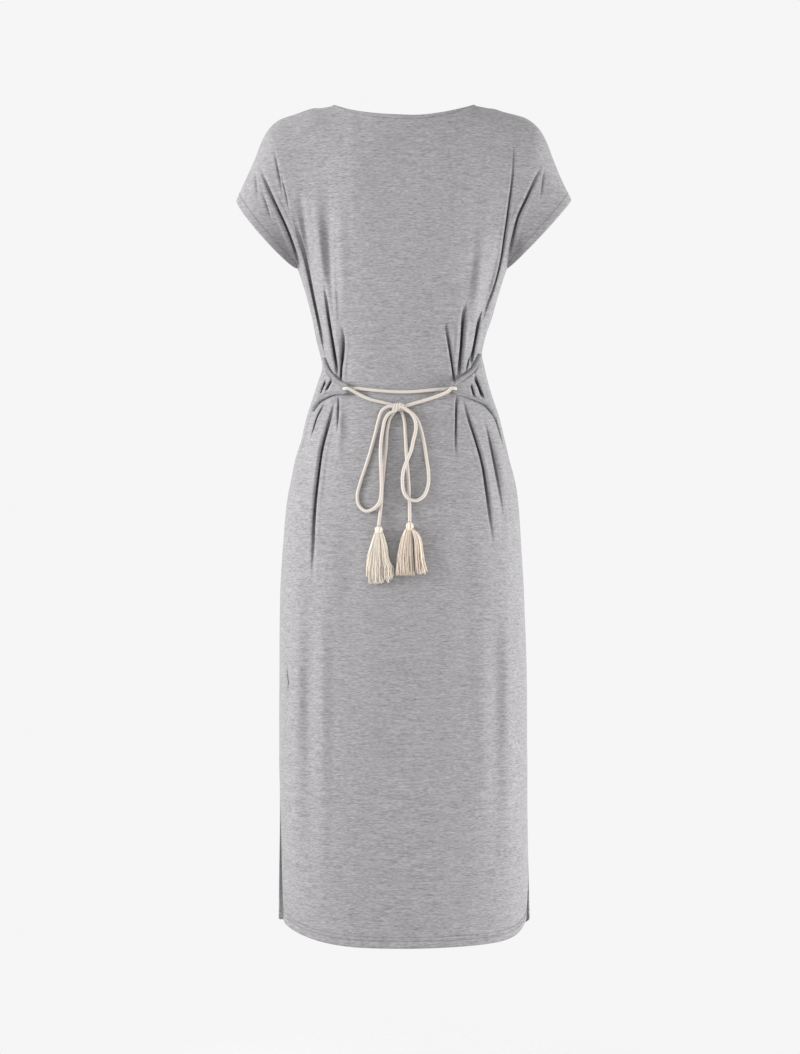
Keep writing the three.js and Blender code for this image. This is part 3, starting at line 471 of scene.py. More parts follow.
class TubeBundle:
    """Closed tubes gathered into one mesh, each point with its relief."""

    def __init__(self, origin: Sequence[float] = (0.0, 0.0, 0.0)) -> None:
        """Starts empty; every tube is shifted by the origin."""
        self.origin = np.array(origin)
        self.points: list[np.ndarray] = []
        self.relief: list[np.ndarray] = []
        self.faces: list[tuple[int, ...]] = []
        self.count = 0

    def add(self, points: np.ndarray, relief: np.ndarray, sides: int) -> None:
        """Adds one tube, given ring by ring with so many sides."""
        faces = tube_faces(len(points) // sides, sides)
        self.faces.extend(tuple(self.count + k for k in face) for face in faces)
        self.points.append(points + self.origin)
        self.relief.append(relief)
        self.count += len(points)

    def piece(self, name: str, finish: bpy.types.Material) -> bpy.types.Object:
        """Makes the piece of that name from all the tubes."""
        return mesh_piece(name, np.concatenate(self.points), self.faces, finish,
                          {"relief": np.concatenate(self.relief)})


# Shader maths


class Signal:
    """Output of a shader node, or a number, that can be used in an expression."""

    def __init__(self, desk: "ShaderDesk", socket: bpy.types.NodeSocket) -> None:
        """Wraps a socket of the desk's tree."""
        self.desk = desk
        self.socket = socket

    def __add__(self, other: "Signal | float") -> "Signal":
        """Sum."""
        return self.desk.maths("ADD", self, other)

    def __mul__(self, other: "Signal | float") -> "Signal":
        """Product."""
        return self.desk.maths("MULTIPLY", self, other)

    def __sub__(self, other: "Signal | float") -> "Signal":
        """Difference."""
        return self.desk.maths("SUBTRACT", self, other)

    def __rsub__(self, other: "Signal | float") -> "Signal":
        """Difference from a number."""
        return self.desk.maths("SUBTRACT", other, self)


class ShaderDesk:
    """The node tree of one material, and the one way in which its nodes are added."""

    def __init__(self, name: str) -> None:
        """Makes an empty material of that name."""
        self.material = bpy.data.materials.new(name)
        self.material.use_nodes = True
        self.tree = self.material.node_tree
        self.tree.nodes.clear()

    def add(self, kind: str, settings: dict | None = None, sockets: dict | None = None,
            output: int | str = 0) -> Signal:
        """Adds a node.

        Args:
            kind: Type of the node.
            settings: Its own properties, with stops for a ramp's positions and colours.
            sockets: Values or signals for its inputs, by name or number.
            output: Which output is returned.

        Returns:
            That output as a signal.
        """
        node = self.tree.nodes.new(kind)
        for key, value in (settings or {}).items():
            if key == "stops":
                self._set_stops(node.color_ramp, value)
            else:
                setattr(node, key, value)
        for key, value in (sockets or {}).items():
            if isinstance(value, Signal):
                self.tree.links.new(value.socket, node.inputs[key])
            else:
                node.inputs[key].default_value = value
        return Signal(self, node.outputs[output]) if node.outputs else Signal(self, None)

    def _set_stops(self, ramp: bpy.types.ColorRamp, stops: Sequence) -> None:
        """Places a ramp's stops, each a position and a colour."""
        while len(ramp.elements) < len(stops):
            ramp.elements.new(1.0)
        for element, (position, colour) in zip(ramp.elements, stops):
            element.position = position
            element.color = (*colour, 1.0)

    def maths(self, operation: str, left: "Signal | float", right: "Signal | float") -> Signal:
        """Adds a Math node for two values."""
        return self.add("ShaderNodeMath", {"operation": operation}, {0: left, 1: right})

    def stretched(self, place: Signal, scale: tuple[float, float, float]) -> Signal:
        """Multiplies a place by a scale for each axis."""
        return self.add("ShaderNodeVectorMath", {"operation": "MULTIPLY"}, {0: place, 1: scale})

    def noise(self, place: Signal, scale: tuple[float, float, float], detail: float = 2.0) -> Signal:
        """Noise value at a place, with so many cells a metre along each axis."""
        return self.add("ShaderNodeTexNoise", {}, {
            "Vector": self.stretched(place, scale), "Scale": 1.0, "Detail": detail, "Roughness": 0.6})

    def finish(self, surface: Signal) -> bpy.types.Material:
        """Ends the tree in a surface and returns the material."""
        self.add("ShaderNodeOutputMaterial", {}, {"Surface": surface})
        return self.material


@dataclass(frozen=True)
class MarlJersey:
    """Grey marl jersey: pale and dark fibres spun together, which show as fine crosswise slubs."""

    name: str
    dark: tuple[float, float, float]
    pale: tuple[float, float, float]
    slub: tuple[float, float, float] = (165.0, 165.0, 860.0)
    long_slub: tuple[float, float, float] = (48.0, 48.0, 420.0)
    fibre: tuple[float, float, float] = (950.0, 950.0, 1500.0)
    wale: float = 5200.0
    sheen: float = 0.16
    grain_height: float = 0.00016
    mix: tuple[float, float, float] = (0.62, 0.26, 0.22)
    mix_shift: float = 0.05

    def material(self) -> bpy.types.Material:
        """Builds the material: marl colour, knitted bump and a soft sheen."""
        desk = ShaderDesk(self.name)
        place = desk.add("ShaderNodeTexCoord", output="Object")
        slub = desk.noise(place, self.slub, 3.0)
        long_slub = desk.noise(place, self.long_slub)
        fibre = desk.noise(place, self.fibre, 1.0)
        weave = desk.add("ShaderNodeAttribute", {"attribute_name": "weave"}, output="Vector")
        wale = desk.add("ShaderNodeTexWave", {"wave_type": "BANDS", "bands_direction": "X"}, {
            "Vector": weave, "Scale": self.wale / (2 * math.pi), "Distortion": 1.2, "Detail": 0.0})
        marl = slub * self.mix[0] + long_slub * self.mix[1] + fibre * self.mix[2] - self.mix_shift
        colour = desk.add("ShaderNodeValToRGB", {"stops": (
            (0.28, self.dark), (0.72, self.pale))}, {"Fac": marl})
        height = slub * 0.6 + fibre * 0.4 + wale * 0.3
        bump = desk.add("ShaderNodeBump", {}, {
            "Strength": 0.55, "Distance": self.grain_height, "Height": height})
        rough = 0.92 - marl * 0.16
        surface = desk.add("ShaderNodeBsdfPrincipled", {}, {
            "Base Color": colour, "Roughness": rough, "Specular IOR Level": 0.22,
            "Sheen Weight": self.sheen, "Sheen Roughness": 0.45, "Normal": bump})
        return desk.finish(surface)


@dataclass(frozen=True)
class CottonYarn:
    """Undyed cotton: pale on its crowns, with painted shade darkening the grooves between its strands."""

    name: str
    groove: tuple[float, float, float]
    crown: tuple[float, float, float]
    fibre: tuple[float, float, float] = (1400.0, 1400.0, 500.0)
    patch: tuple[float, float, float] = (90.0, 90.0, 60.0)
    mix: tuple[float, float, float] = (0.7, 0.3, 0.25)
    mix_shift: float = 0.12

    def material(self) -> bpy.types.Material:
        """Builds the material from the relief kept on the mesh, which sets painted shade in the grooves,
        and a fibre noise.
        """
        desk = ShaderDesk(self.name)
        place = desk.add("ShaderNodeTexCoord", output="Object")
        relief = desk.add("ShaderNodeAttribute", {"attribute_name": "relief"}, output="Fac")
        fibre = desk.noise(place, self.fibre)
        patch = desk.noise(place, self.patch)
        # mix of painted shade from the relief, dark in the grooves, with random fibre and patch tone
        share = relief * self.mix[0] + fibre * self.mix[1] + patch * self.mix[2] - self.mix_shift
        colour = desk.add("ShaderNodeValToRGB", {"stops": (
            (0.12, self.groove), (0.8, self.crown))}, {"Fac": share})
        bump = desk.add("ShaderNodeBump", {}, {
            "Strength": 0.5, "Distance": 0.0002, "Height": fibre})
        surface = desk.add("ShaderNodeBsdfPrincipled", {}, {
            "Base Color": colour, "Roughness": 0.94 - fibre * 0.12, "Specular IOR Level": 0.15,
            "Sheen Weight": 0.12, "Sheen Roughness": 0.5, "Normal": bump})
        return desk.finish(surface)


@dataclass(frozen=True)
class StudioPaper:
    """Matt pale paper of the floor, which fades into the pale surroundings away from the dress."""

    name: str = "studio_paper"
    colour: tuple[float, float, float] = (0.7, 0.7, 0.7)
    near: float = 0.1
    far: float = 0.5

    def material(self) -> bpy.types.Material:
        """Builds the paper, clear beyond its far radius."""
        desk = ShaderDesk(self.name)
        place = desk.add("ShaderNodeTexCoord", output="Object")
        reach = desk.add("ShaderNodeVectorMath", {"operation": "LENGTH"}, {0: place}, output="Value")
        fade = desk.add("ShaderNodeMapRange", {"interpolation_type": "SMOOTHSTEP"}, {
            "Value": reach, "From Min": self.near, "From Max": self.far})
        paper = desk.add("ShaderNodeBsdfPrincipled", {}, {
            "Base Color": (*self.colour, 1.0), "Roughness": 0.95, "Specular IOR Level": 0.1})
        clear = desk.add("ShaderNodeBsdfTransparent")
        return desk.finish(desk.add("ShaderNodeMixShader", {}, {0: fade, 1: paper, 2: clear}))


# The cloth


@dataclass
class TurnedHem:
    """An edge of the cloth turned in and stitched down.

    depth is how far the turned cloth reaches, rows how far each row of stitching is from the edge.
    """

    depth: float
    rows: tuple[float, ...]
    lift: float = 0.35
    groove: float = 0.55
    groove_width: float = 1.1
    roll: float = 0.8

    def relief(self, distance: np.ndarray) -> np.ndarray:
        """Height of the cloth over its plain form at each distance from the edge."""
        lift = self.lift * smoothstep((self.depth + 1.5 - distance) / 2.0)
        lift = lift - self.roll * np.exp(-((distance / 1.1) ** 2))
        for row in self.rows:
            lift = lift - self.groove * np.exp(-(((distance - row) / self.groove_width) ** 2))
        return lift


@dataclass
class ClothPanel:
    """One worn panel of the dress, with both its cap sleeves grown on."""

    name: str
    nodes: tuple[str, str]
    facing: int
    neck_depth: float
    neck_drop: float
    neck_sag: float
    centre_lean: float
    shoulder_lean: float
    sleeve_depth: float
    slit_opening: float
    creases: tuple[Crease, ...]
    column_bands: tuple[tuple[float, int], ...]
    yoke_bands: tuple[tuple[float, int], ...]
    body_bands: tuple[tuple[float, int], ...]
    flat: tuple[float, float]
    cut_area: float
    wall: float = 1.2
    edge_fade: float = 0.05
    corner_share: float = 1.0
    easing: int = 500
    sleeve_fullness: tuple[float, float] = (0.0, 0.0)
    ripple: float = 0.45
    seed: int = 7
    foot_hem: TurnedHem = field(default_factory=lambda: TurnedHem(17.0, (10.0, 16.0), 0.5, 1.0))
    sleeve_hem: TurnedHem = field(default_factory=lambda: TurnedHem(13.0, (12.0,), 0.3, 0.45))
    neck_hem: TurnedHem = field(default_factory=lambda: TurnedHem(8.0, (7.0,), 0.4, 0.4))
    slit_hem: TurnedHem = field(default_factory=lambda: TurnedHem(9.0, (8.0,), 0.25, 0.3))

    def build(self, finish: bpy.types.Material) -> bpy.types.Object:
        """Args:
            finish: Jersey material.

        Returns:
            The panel's object.
        """
        self.columns = self._columns()
        self.rows = self._rows()
        plain = self._plain_points()
        normals = self._normals(plain)
        across, down = self._lengths(plain)
        folds = self._folds(plain)
        lift = self._lift(plain, across, down)
        self.outer = plain + normals * lift[..., None] + folds
        self.normals = self._wall_normals(self._normals(self.outer))
        self.weave = self._weave_places(across, down)
        points, faces = self._shell()
        places = np.concatenate([self.weave.reshape(-1, 3)] * 2)
        piece = mesh_piece(self.name + "_cloth", points, faces, finish, {"weave": places})
        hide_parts(*self.nodes)
        return piece

    def declare(self, piece: bpy.types.Object, extras: Sequence[bpy.types.Object]) -> None:
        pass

    def _bands(self, bands: Sequence[tuple[float, int]], start: float) -> np.ndarray:
        """Stops from start through bands, each given by its end and its number of steps."""
        stops = [start]
        for end, count in bands:
            stops.extend(np.linspace(stops[-1], end, count + 1)[1:])
        return np.array(stops)

    def _columns(self) -> np.ndarray:
        """Signed columns from the left edge to the right."""
        half = self._bands(self.column_bands, 0.0)
        return np.concatenate([-half[:0:-1], half])

    def _rows(self) -> np.ndarray:
        """Rows as share and drop, from the top edge to the hem."""
        shares = self._bands(self.yoke_bands, 0.0)[:-1]
        drops = self._bands(self.body_bands, YOKE_DROP)
        yoke = np.stack([shares, np.full(len(shares), YOKE_DROP)], axis=1)
        body = np.stack([np.ones(len(drops)), drops], axis=1)
        return np.vstack([yoke, body])

    def _edge_turn(self, column: np.ndarray, drop: np.ndarray) -> np.ndarray:
        """Turn of the panel's side edge: the seam, and below the slit's top its open edge."""
        seam = np.radians(90.0 - SEAM_TURN(drop))
        flare = np.where(column < 0, *SLIT_FLARE)
        opened = np.clip((drop - SLIT_TOP) / (HEM_DROP - SLIT_TOP), 0.0, 1.0) ** flare
        retreat = (SEAM_GAP / 2 + self.slit_opening * opened) / BACK_DEPTH(drop)
        return seam - retreat if self.facing < 0 else seam + retreat

    def _turn(self, column: np.ndarray, drop: np.ndarray) -> np.ndarray:
        """Turn at signed columns of the panel."""
        edge = self._edge_turn(column, drop)
        if self.facing < 0:
            return column * edge
        side = np.where(column < 0, -1.0, 1.0)
        return side * (math.pi - np.abs(column) * (math.pi - edge))

    def _top(self, column: np.ndarray) -> np.ndarray:
        """Points of the top edge: the neckline, then the shoulder line to the sleeve tip."""
        side = np.where(column < 0, -1.0, 1.0)
        share = np.abs(column)
        seam_side = self.facing * SEAM_GAP / 2
        angle = np.minimum(share / NECK_SHARE, 1.0) * math.pi / 2
        sag = np.cos(angle)
        neck = np.stack([
            side * NECK_HALF_WIDTH * np.sin(angle),
            seam_side + self.facing * self.neck_depth * sag,
            NECK_POINT_RISE - (self.neck_drop + NECK_POINT_RISE) * np.abs(sag) ** self.neck_sag,
        ], axis=-1)
        along = np.clip((share - NECK_SHARE) / (1 - NECK_SHARE), 0.0, 1.0)
        stops = np.linspace(0.0, 1.0, len(SHOULDER_LINE))
        reach = np.interp(along, stops, SHOULDER_LINE[:, 0])
        drop = np.interp(along, stops, SHOULDER_LINE[:, 1])
        shoulder = np.stack([side * reach, np.full_like(reach, seam_side), -drop], axis=-1)
        return np.where((share < NECK_SHARE)[..., None], neck, shoulder)

    def _top_direction(self, column: np.ndarray) -> np.ndarray:
        """Directions in which the cloth leaves the top edge."""
        share = np.minimum(np.abs(column) / NECK_SHARE, 1.0) ** 1.5
        angle = np.radians(self.centre_lean + (self.shoulder_lean - self.centre_lean) * share)
        return np.stack([0 * angle, self.facing * np.cos(angle), -np.sin(angle)], axis=-1)

    def _yoke_column(self, column: np.ndarray, share: np.ndarray) -> np.ndarray:
        """Points of the yoke's columns, from the top edge to the ring below the armholes."""
        top = self._top(column)
        drop = np.full_like(column, YOKE_DROP)
        turn = self._turn(column, drop)
        bottom = ring_point(turn, drop)
        length = np.linalg.norm(bottom - top, axis=-1, keepdims=True)
        leave = self._top_direction(column) * length * YOKE_LEAVE
        arrive = ring_point(turn, drop + YOKE_ARRIVE_REACH) - ring_point(turn, drop - YOKE_ARRIVE_REACH)
        arrive = arrive * length * YOKE_ARRIVE / (2 * YOKE_ARRIVE_REACH)
        return hermite(top, leave, bottom, arrive, share[..., None])

    def _yoke_edge(self, side: np.ndarray, share: np.ndarray) -> np.ndarray:
        """The panel's outer edge beside the yoke: half the sleeve opening, then the side seam."""
        tip = self._top(side)
        under = np.full_like(side, UNDERARM_DROP)
        underarm = ring_point(self._turn(side, under), under)
        angle = np.minimum(share / UNDERARM_SHARE, 1.0) * math.pi
        mix = ((1 - np.cos(angle)) / 2)[..., None]
        opening = tip * (1 - mix) + underarm * mix
        opening[..., 1] += self.facing * self.sleeve_depth * np.sin(angle)
        fullness = np.where(side < 0, *self.sleeve_fullness) * np.sin(angle)
        opening[..., 0] += side * fullness * SLEEVE_OUT
        opening[..., 2] -= fullness * SLEEVE_DOWN
        along = np.clip((share - UNDERARM_SHARE) / (1 - UNDERARM_SHARE), 0.0, 1.0)
        drop = UNDERARM_DROP + (YOKE_DROP - UNDERARM_DROP) * along
        seam = ring_point(self._turn(side, drop), drop)
        return np.where((share > UNDERARM_SHARE)[..., None], seam, opening)

    def _plain_points(self) -> np.ndarray:
        """Grid of points of the cloth before its folds."""
        in_yoke = self.rows[:, 0] < 1
        share, column = np.meshgrid(self.rows[in_yoke, 0], self.columns, indexing="ij")
        yoke = self._yoke_column(column, share)
        pull = np.clip((np.abs(column) - SLEEVE_PULL_FROM) / (1 - SLEEVE_PULL_FROM), 0, 1) ** 2
        side = np.where(column < 0, -1.0, 1.0)
        edge = self._yoke_edge(side, share) - self._yoke_column(side, share)
        yoke = self._eased(yoke + edge * pull[..., None])
        drop, column = np.meshgrid(self.rows[~in_yoke, 1], self.columns, indexing="ij")
        below = np.clip(1 - (HEM_DROP - drop) / HEM_RISE_REACH, 0.0, 1.0)
        tilt, corner, power = (np.where(column < 0, *pair) for pair in zip(HEM_LEFT, HEM_RIGHT))
        rise = (tilt * np.abs(column) + corner * np.abs(column) ** power) * self.corner_share
        raised = drop - rise * below
        body = ring_point(self._turn(column, raised), raised)
        return np.concatenate([yoke, body], axis=0)

    def _eased(self, yoke: np.ndarray) -> np.ndarray:
        """Yoke with the kink eased out that would run down from each neck point."""
        column = np.abs(self.columns)[None, :, None]
        share = self.rows[self.rows[:, 0] < 1, 0][:, None, None]
        weight = smoothstep((share - EASE_FROM) / EASE_RUN)
        weight = weight * smoothstep((EASE_HALF - np.abs(column - EASE_MIDDLE)) / EASE_EDGE)
        for _ in range(self.easing):
            middle = (yoke[:, :-2] + yoke[:, 2:]) / 2
            yoke[:, 1:-1] += weight[:, 1:-1] * (middle - yoke[:, 1:-1])
        return yoke

    def _normals(self, grid: np.ndarray) -> np.ndarray:
        """Outward directions of a grid of points."""
        down = np.gradient(grid, axis=0)
        across = np.gradient(grid, axis=1)
        normal = np.cross(down, across) * -self.facing
        return normal / np.linalg.norm(normal, axis=-1, keepdims=True)

    def _wall_normals(self, normals: np.ndarray) -> np.ndarray:
        """Outward directions for the wall, shared by both panels along the seams."""
        share = self.rows[:, 0]
        shoulder = np.abs(self.columns) >= NECK_SHARE
        along = np.clip((np.abs(self.columns) - NECK_SHARE) / (1 - NECK_SHARE), 0.02, 0.98)
        stops = np.linspace(0.0, 1.0, len(SHOULDER_LINE))
        slope = np.gradient(SHOULDER_LINE, axis=0)
        tangent = np.stack([np.interp(along, stops, slope[:, k]) for k in range(2)], axis=1)
        side = np.sign(self.columns)
        up = np.stack([side * tangent[:, 1], 0 * side, tangent[:, 0]], axis=1)
        up /= np.linalg.norm(up, axis=1, keepdims=True)
        normals = normals.copy()
        normals[0, shoulder] = up[shoulder]
        for column, sign in ((0, -1.0), (-1, 1.0)):
            seamed = share >= UNDERARM_SHARE
            drop = -self.outer[seamed, column, 2]
            seam = sign * np.radians(90.0 - SEAM_TURN(drop))
            around = ring_point(seam + SEAM_TURN_STEP, drop) - ring_point(seam - SEAM_TURN_STEP, drop)
            fall = ring_point(seam, drop + SEAM_DROP_STEP) - ring_point(seam, drop - SEAM_DROP_STEP)
            ring = np.cross(fall, around)
            normals[seamed, column] = ring / np.linalg.norm(ring, axis=1, keepdims=True)
        return normals

    def _lengths(self, grid: np.ndarray) -> tuple[np.ndarray, np.ndarray]:
        """Lengths over the cloth from its left edge and from its top edge, at each point."""
        across = np.linalg.norm(np.diff(grid, axis=1), axis=-1)
        down = np.linalg.norm(np.diff(grid, axis=0), axis=-1)
        across = np.concatenate([np.zeros((len(grid), 1)), np.cumsum(across, axis=1)], axis=1)
        down = np.concatenate([np.zeros((1, grid.shape[1])), np.cumsum(down, axis=0)], axis=0)
        return across, down

    def _weave_places(self, across: np.ndarray, down: np.ndarray) -> np.ndarray:
        """Places on the cloth in metres, counted from its centre line and its top edge."""
        middle = across[:, [across.shape[1] // 2]]
        return np.stack([(across - middle) * MM, down * MM, 0 * down], axis=-1)

    def _folds(self, grid: np.ndarray) -> np.ndarray:
        """Movement that the creases give to each point of the grid."""
        fade = smoothstep((1 - np.abs(self.columns)[None, :]) / self.edge_fade)
        return sum(self._crease(crease, grid) for crease in self.creases) * fade[..., None]

    def _crease(self, crease: Crease, grid: np.ndarray) -> np.ndarray:
        """Movement that one crease gives: straight in or out from behind, with its lean."""
        x, drop = grid[..., 0], -grid[..., 2]
        route = smooth_route(np.array(crease.course, float), 6.0)
        reach = 5.0 * crease.width
        low, high = route.min(axis=0) - reach, route.max(axis=0) + reach
        near = (x > low[0]) & (x < high[0]) & (drop > low[1]) & (drop < high[1])
        place = np.stack([x[near], drop[near]], axis=1)
        best = np.full(len(place), np.inf)
        along = np.zeros(len(place))
        offset = np.zeros(place.shape)
        last = len(route) - 1
        for i in range(last):
            step = route[i + 1] - route[i]
            t = np.clip((place - route[i]) @ step / (step @ step), 0.0, 1.0)
            aside = place - route[i] - t[:, None] * step
            gap = np.linalg.norm(aside, axis=1)
            closer = gap < best
            best[closer] = gap[closer]
            offset[closer] = aside[closer]
            along[closer] = (i + t[closer]) / last
        away = best / crease.width
        swell = np.where(along < crease.peak, along / crease.peak, (1 - along) / (1 - crease.peak))
        fullness = smoothstep(swell)
        toward = -offset / np.maximum(best, 1e-6)[:, None]
        toward = toward * (crease.section.lean(away) * crease.width * fullness)[:, None]
        movement = np.zeros(grid.shape)
        movement[near, 0] = toward[:, 0]
        movement[near, 1] = self.facing * crease.rise * crease.section.section(away) * fullness
        movement[near, 2] = -toward[:, 1]
        return movement

    def _ripples(self, grid: np.ndarray) -> np.ndarray:
        """Faint uneven waves of the whole cloth."""
        draw = np.random.default_rng(self.seed)
        lift = np.zeros(grid.shape[:2])
        for _ in range(RIPPLE_COUNT):
            wave = draw.uniform(*RIPPLE_LENGTHS)
            angle = draw.normal(0.0, RIPPLE_SPREAD)
            phase = draw.uniform(0, 2 * math.pi)
            turn = (grid[..., 0] * math.cos(angle) - grid[..., 2] * math.sin(angle)) / wave
            drift = np.sin(-grid[..., 2] / draw.uniform(*DRIFT_LENGTHS) + phase)
            height = self.ripple * (wave / RIPPLE_LENGTHS[1])
            lift += np.sin(2 * math.pi * turn + phase + DRIFT * drift) * height
        return lift / 2.0

    def _lift(self, grid: np.ndarray, across: np.ndarray, down: np.ndarray) -> np.ndarray:
        """Height of the ripples, seams and hems over the plain cloth."""
        column = np.abs(self.columns)[None, :]
        lift = self._ripples(grid) * smoothstep((1 - column) / self.edge_fade)
        from_side = np.minimum(across, across[:, -1:] - across)
        from_foot = down[-1:] - down
        share = self.rows[:, :1]
        open_sleeve = (share < UNDERARM_SHARE) & (column > SLEEVE_PULL_FROM)
        open_neck = (share < TOP_SHARE) & (column < NECK_SHARE)
        seamed_side = (share >= UNDERARM_SHARE) & (self.rows[:, 1:] < SLIT_TOP)
        shoulder = (column >= NECK_SHARE) & (share < TOP_SHARE)
        slit = self.rows[:, 1:] >= SLIT_TOP
        lift = lift + self.foot_hem.relief(from_foot) * (share >= 1)
        lift = lift + np.where(open_sleeve, self.sleeve_hem.relief(from_side), 0.0)
        lift = lift + np.where(open_neck, self.neck_hem.relief(down), 0.0)
        lift = lift - np.where(seamed_side, SIDE_SINK * np.exp(-((from_side / SINK_WIDTH) ** 2)), 0.0)
        lift = lift - np.where(shoulder, SHOULDER_SINK * np.exp(-((down / SINK_WIDTH) ** 2)), 0.0)
        lift = lift + np.where(slit, self.slit_hem.relief(from_side), 0.0)
        return lift

    def _shell(self) -> tuple[np.ndarray, list[tuple[int, ...]]]:
        """Points and faces of the closed thin shell."""
        inner = self.outer - self.normals * self.wall
        height, width = self.outer.shape[:2]
        points = np.concatenate([self.outer.reshape(-1, 3), inner.reshape(-1, 3)])
        count = height * width
        number = np.arange(count).reshape(height, width)
        a, b, c, d = number[:-1, :-1], number[1:, :-1], number[1:, 1:], number[:-1, 1:]
        quads = [np.stack([a, b, c, d], axis=-1).reshape(-1, 4),
                 np.stack([a, d, c, b], axis=-1).reshape(-1, 4) + count]
        rim = np.concatenate([number[0, ::-1], number[1:, 0], number[-1, 1:], number[-2::-1, -1]])
        following = np.roll(rim, -1)
        quads.append(np.stack([rim, rim + count, following + count, following], axis=-1)[:-1])
        faces = np.concatenate(quads)
        if self.facing > 0:
            faces = faces[:, ::-1]
        return points, faces.tolist()

    def line(self, where: str, distance: float) -> tuple[np.ndarray, np.ndarray]:
        """Line over the cloth at a distance from one of its edges.

        Args:
            where: foot, neck, left or right, the two last being the sleeve hems.
            distance: How far in from the edge the line runs.

        Returns:
            Points on the outside of the cloth and the outward directions there.
        """
        across, down = self._lengths(self.outer)
        if where == "foot":
            measure, inside = down[-1:] - down, np.ones(len(self.columns), bool)
        elif where == "neck":
            measure, inside = down, np.abs(self.columns) < NECK_SHARE - 0.01
        elif where == "left":
            measure, inside = across, self.rows[:, 0] < UNDERARM_SHARE
        else:
            measure, inside = across[:, -1:] - across, self.rows[:, 0] < UNDERARM_SHARE
        points, directions = [], []
        for i in np.flatnonzero(inside):
            if where in ("foot", "neck"):
                far, line, out = measure[:, i], self.outer[:, i], self.normals[:, i]
            else:
                far, line, out = measure[i], self.outer[i], self.normals[i]
            order = np.argsort(far)
            points.append([np.interp(distance, far[order], line[order, k]) for k in range(3)])
            directions.append([np.interp(distance, far[order], out[order, k]) for k in range(3)])
        return np.array(points), np.array(directions)


# rings of one stitch: the share along it, the share of its radius and the height over the cloth
STITCH_RINGS = (
    (-0.5, 0.35, -0.12), (-0.3, 0.95, 0.12), (0.0, 1.0, 0.2), (0.3, 0.95, 0.12), (0.5, 0.35, -0.12),
)


@dataclass
class Stitching:
    """Rows of machine stitches along the hems of one panel."""

    panel: ClothPanel
    length: float = 2.5
    gap: float = 0.75
    radius: float = 0.34
    sides: int = 5
    relief: float = 0.7

    def build(self, finish: bpy.types.Material) -> bpy.types.Object:
        """Makes all the stitches of the panel as one piece.

        Args:
            finish: Thread material.

        Returns:
            The piece of thread.
        """
        rows = [("foot", d) for d in self.panel.foot_hem.rows]
        rows += [("neck", d) for d in self.panel.neck_hem.rows]
        rows += [(side, d) for side in ("left", "right") for d in self.panel.sleeve_hem.rows]
        bundle = TubeBundle()
        for where, distance in rows:
            line, out = self.panel.line(where, distance)
            self._row(line, out, bundle)
        return bundle.piece(self.panel.name + "_stitching", finish)

    def _row(self, line: np.ndarray, out: np.ndarray, bundle: TubeBundle) -> None:
        """Adds the stitches of one row to the bundle."""
        both = smooth_route(np.hstack([line, out * 10.0]), (self.length + self.gap) / 2, weight=0.0)
        for i in range(0, len(both) - 2, 2):
            start, end = both[i, :3], both[i + 1, :3]
            up = both[i, 3:] / np.linalg.norm(both[i, 3:])
            along = end - start
            along = along / max(np.linalg.norm(along), 1e-6)
            side = np.cross(along, up)
            middle = (start + end) / 2
            rings = []
            for share, fullness, height in STITCH_RINGS:
                centre = middle + along * share * self.length + up * height
                angle = np.linspace(0, 2 * math.pi, self.sides, endpoint=False)[:, None]
                rings.append(centre + self.radius * fullness * (np.cos(angle) * side + np.sin(angle) * up))
            stitch = np.concatenate(rings)
            bundle.add(stitch, np.full(len(stitch), self.relief), self.sides)


# What lies on the back of the dress


class ClothContact:
    """Finds where round pieces come to rest against the back of the dress."""

    CONTACT_RINGS = (0.0, 0.5, 0.9)
    SAMPLES = 8
    FROM = -0.4

    def __init__(self, panels: Sequence[bpy.types.Object]) -> None:
        """Takes the panels' meshes as the ground."""
        points, faces = [], []
        for piece in panels:
            first = len(points)
            points.extend(v.co.copy() for v in piece.data.vertices)
            faces.extend(tuple(first + k for k in face.vertices) for face in piece.data.polygons)
        self.tree = BVHTree.FromPolygons(points, faces)

    def depth(self, x: float, drop: float) -> float | None:
        """y of the cloth as met from behind at x and a drop, or None beside the dress."""
        hit = self.tree.ray_cast(Vector((x * MM, self.FROM, -drop * MM)), Vector((0, 1, 0)))
        return hit[0].y / MM if hit[0] else None

    def resting(self, x: float, drop: float, radius: float) -> float:
        """y of the centre of a ball of this radius that lies against the back of the dress."""
        best = math.inf
        for ring in self.CONTACT_RINGS:
            for k in range(self.SAMPLES if ring else 1):
                angle = 2 * math.pi * k / self.SAMPLES
                cloth = self.depth(x + ring * radius * math.cos(angle),
                                   drop + ring * radius * math.sin(angle))
                if cloth is not None:
                    best = min(best, cloth - radius * math.sqrt(1 - ring * ring))
        return best


CORD_DIAMETER = 4.6
LOOP_DIAMETER = 5.4
REST_CLEARANCE = 0.3
TURN_RADIUS = (CORD_DIAMETER + LOOP_DIAMETER) / 2 + 0.5


@dataclass(frozen=True)
class Stop:
    """A place on a route: x, drop, and its own y or how far it stands off the cloth."""

    x: float
    drop: float
    off: float = 0.0
    y: float | None = None


def laid_route(stops: Sequence[Stop], diameter: float, contact: ClothContact) -> np.ndarray:
    """Points of a route over the back of the dress.

    Args:
        stops: Its stops.
        diameter: Thickness of what follows it.
        contact: The cloth that it lies on.

    Returns:
        The stops as points in millimetres.
    """
    radius = diameter / 2 + REST_CLEARANCE
    points = []
    for stop in stops:
        y = stop.y if stop.y is not None else contact.resting(stop.x, stop.drop, radius) - stop.off
        points.append((stop.x, y, -stop.drop))
    return np.array(points)


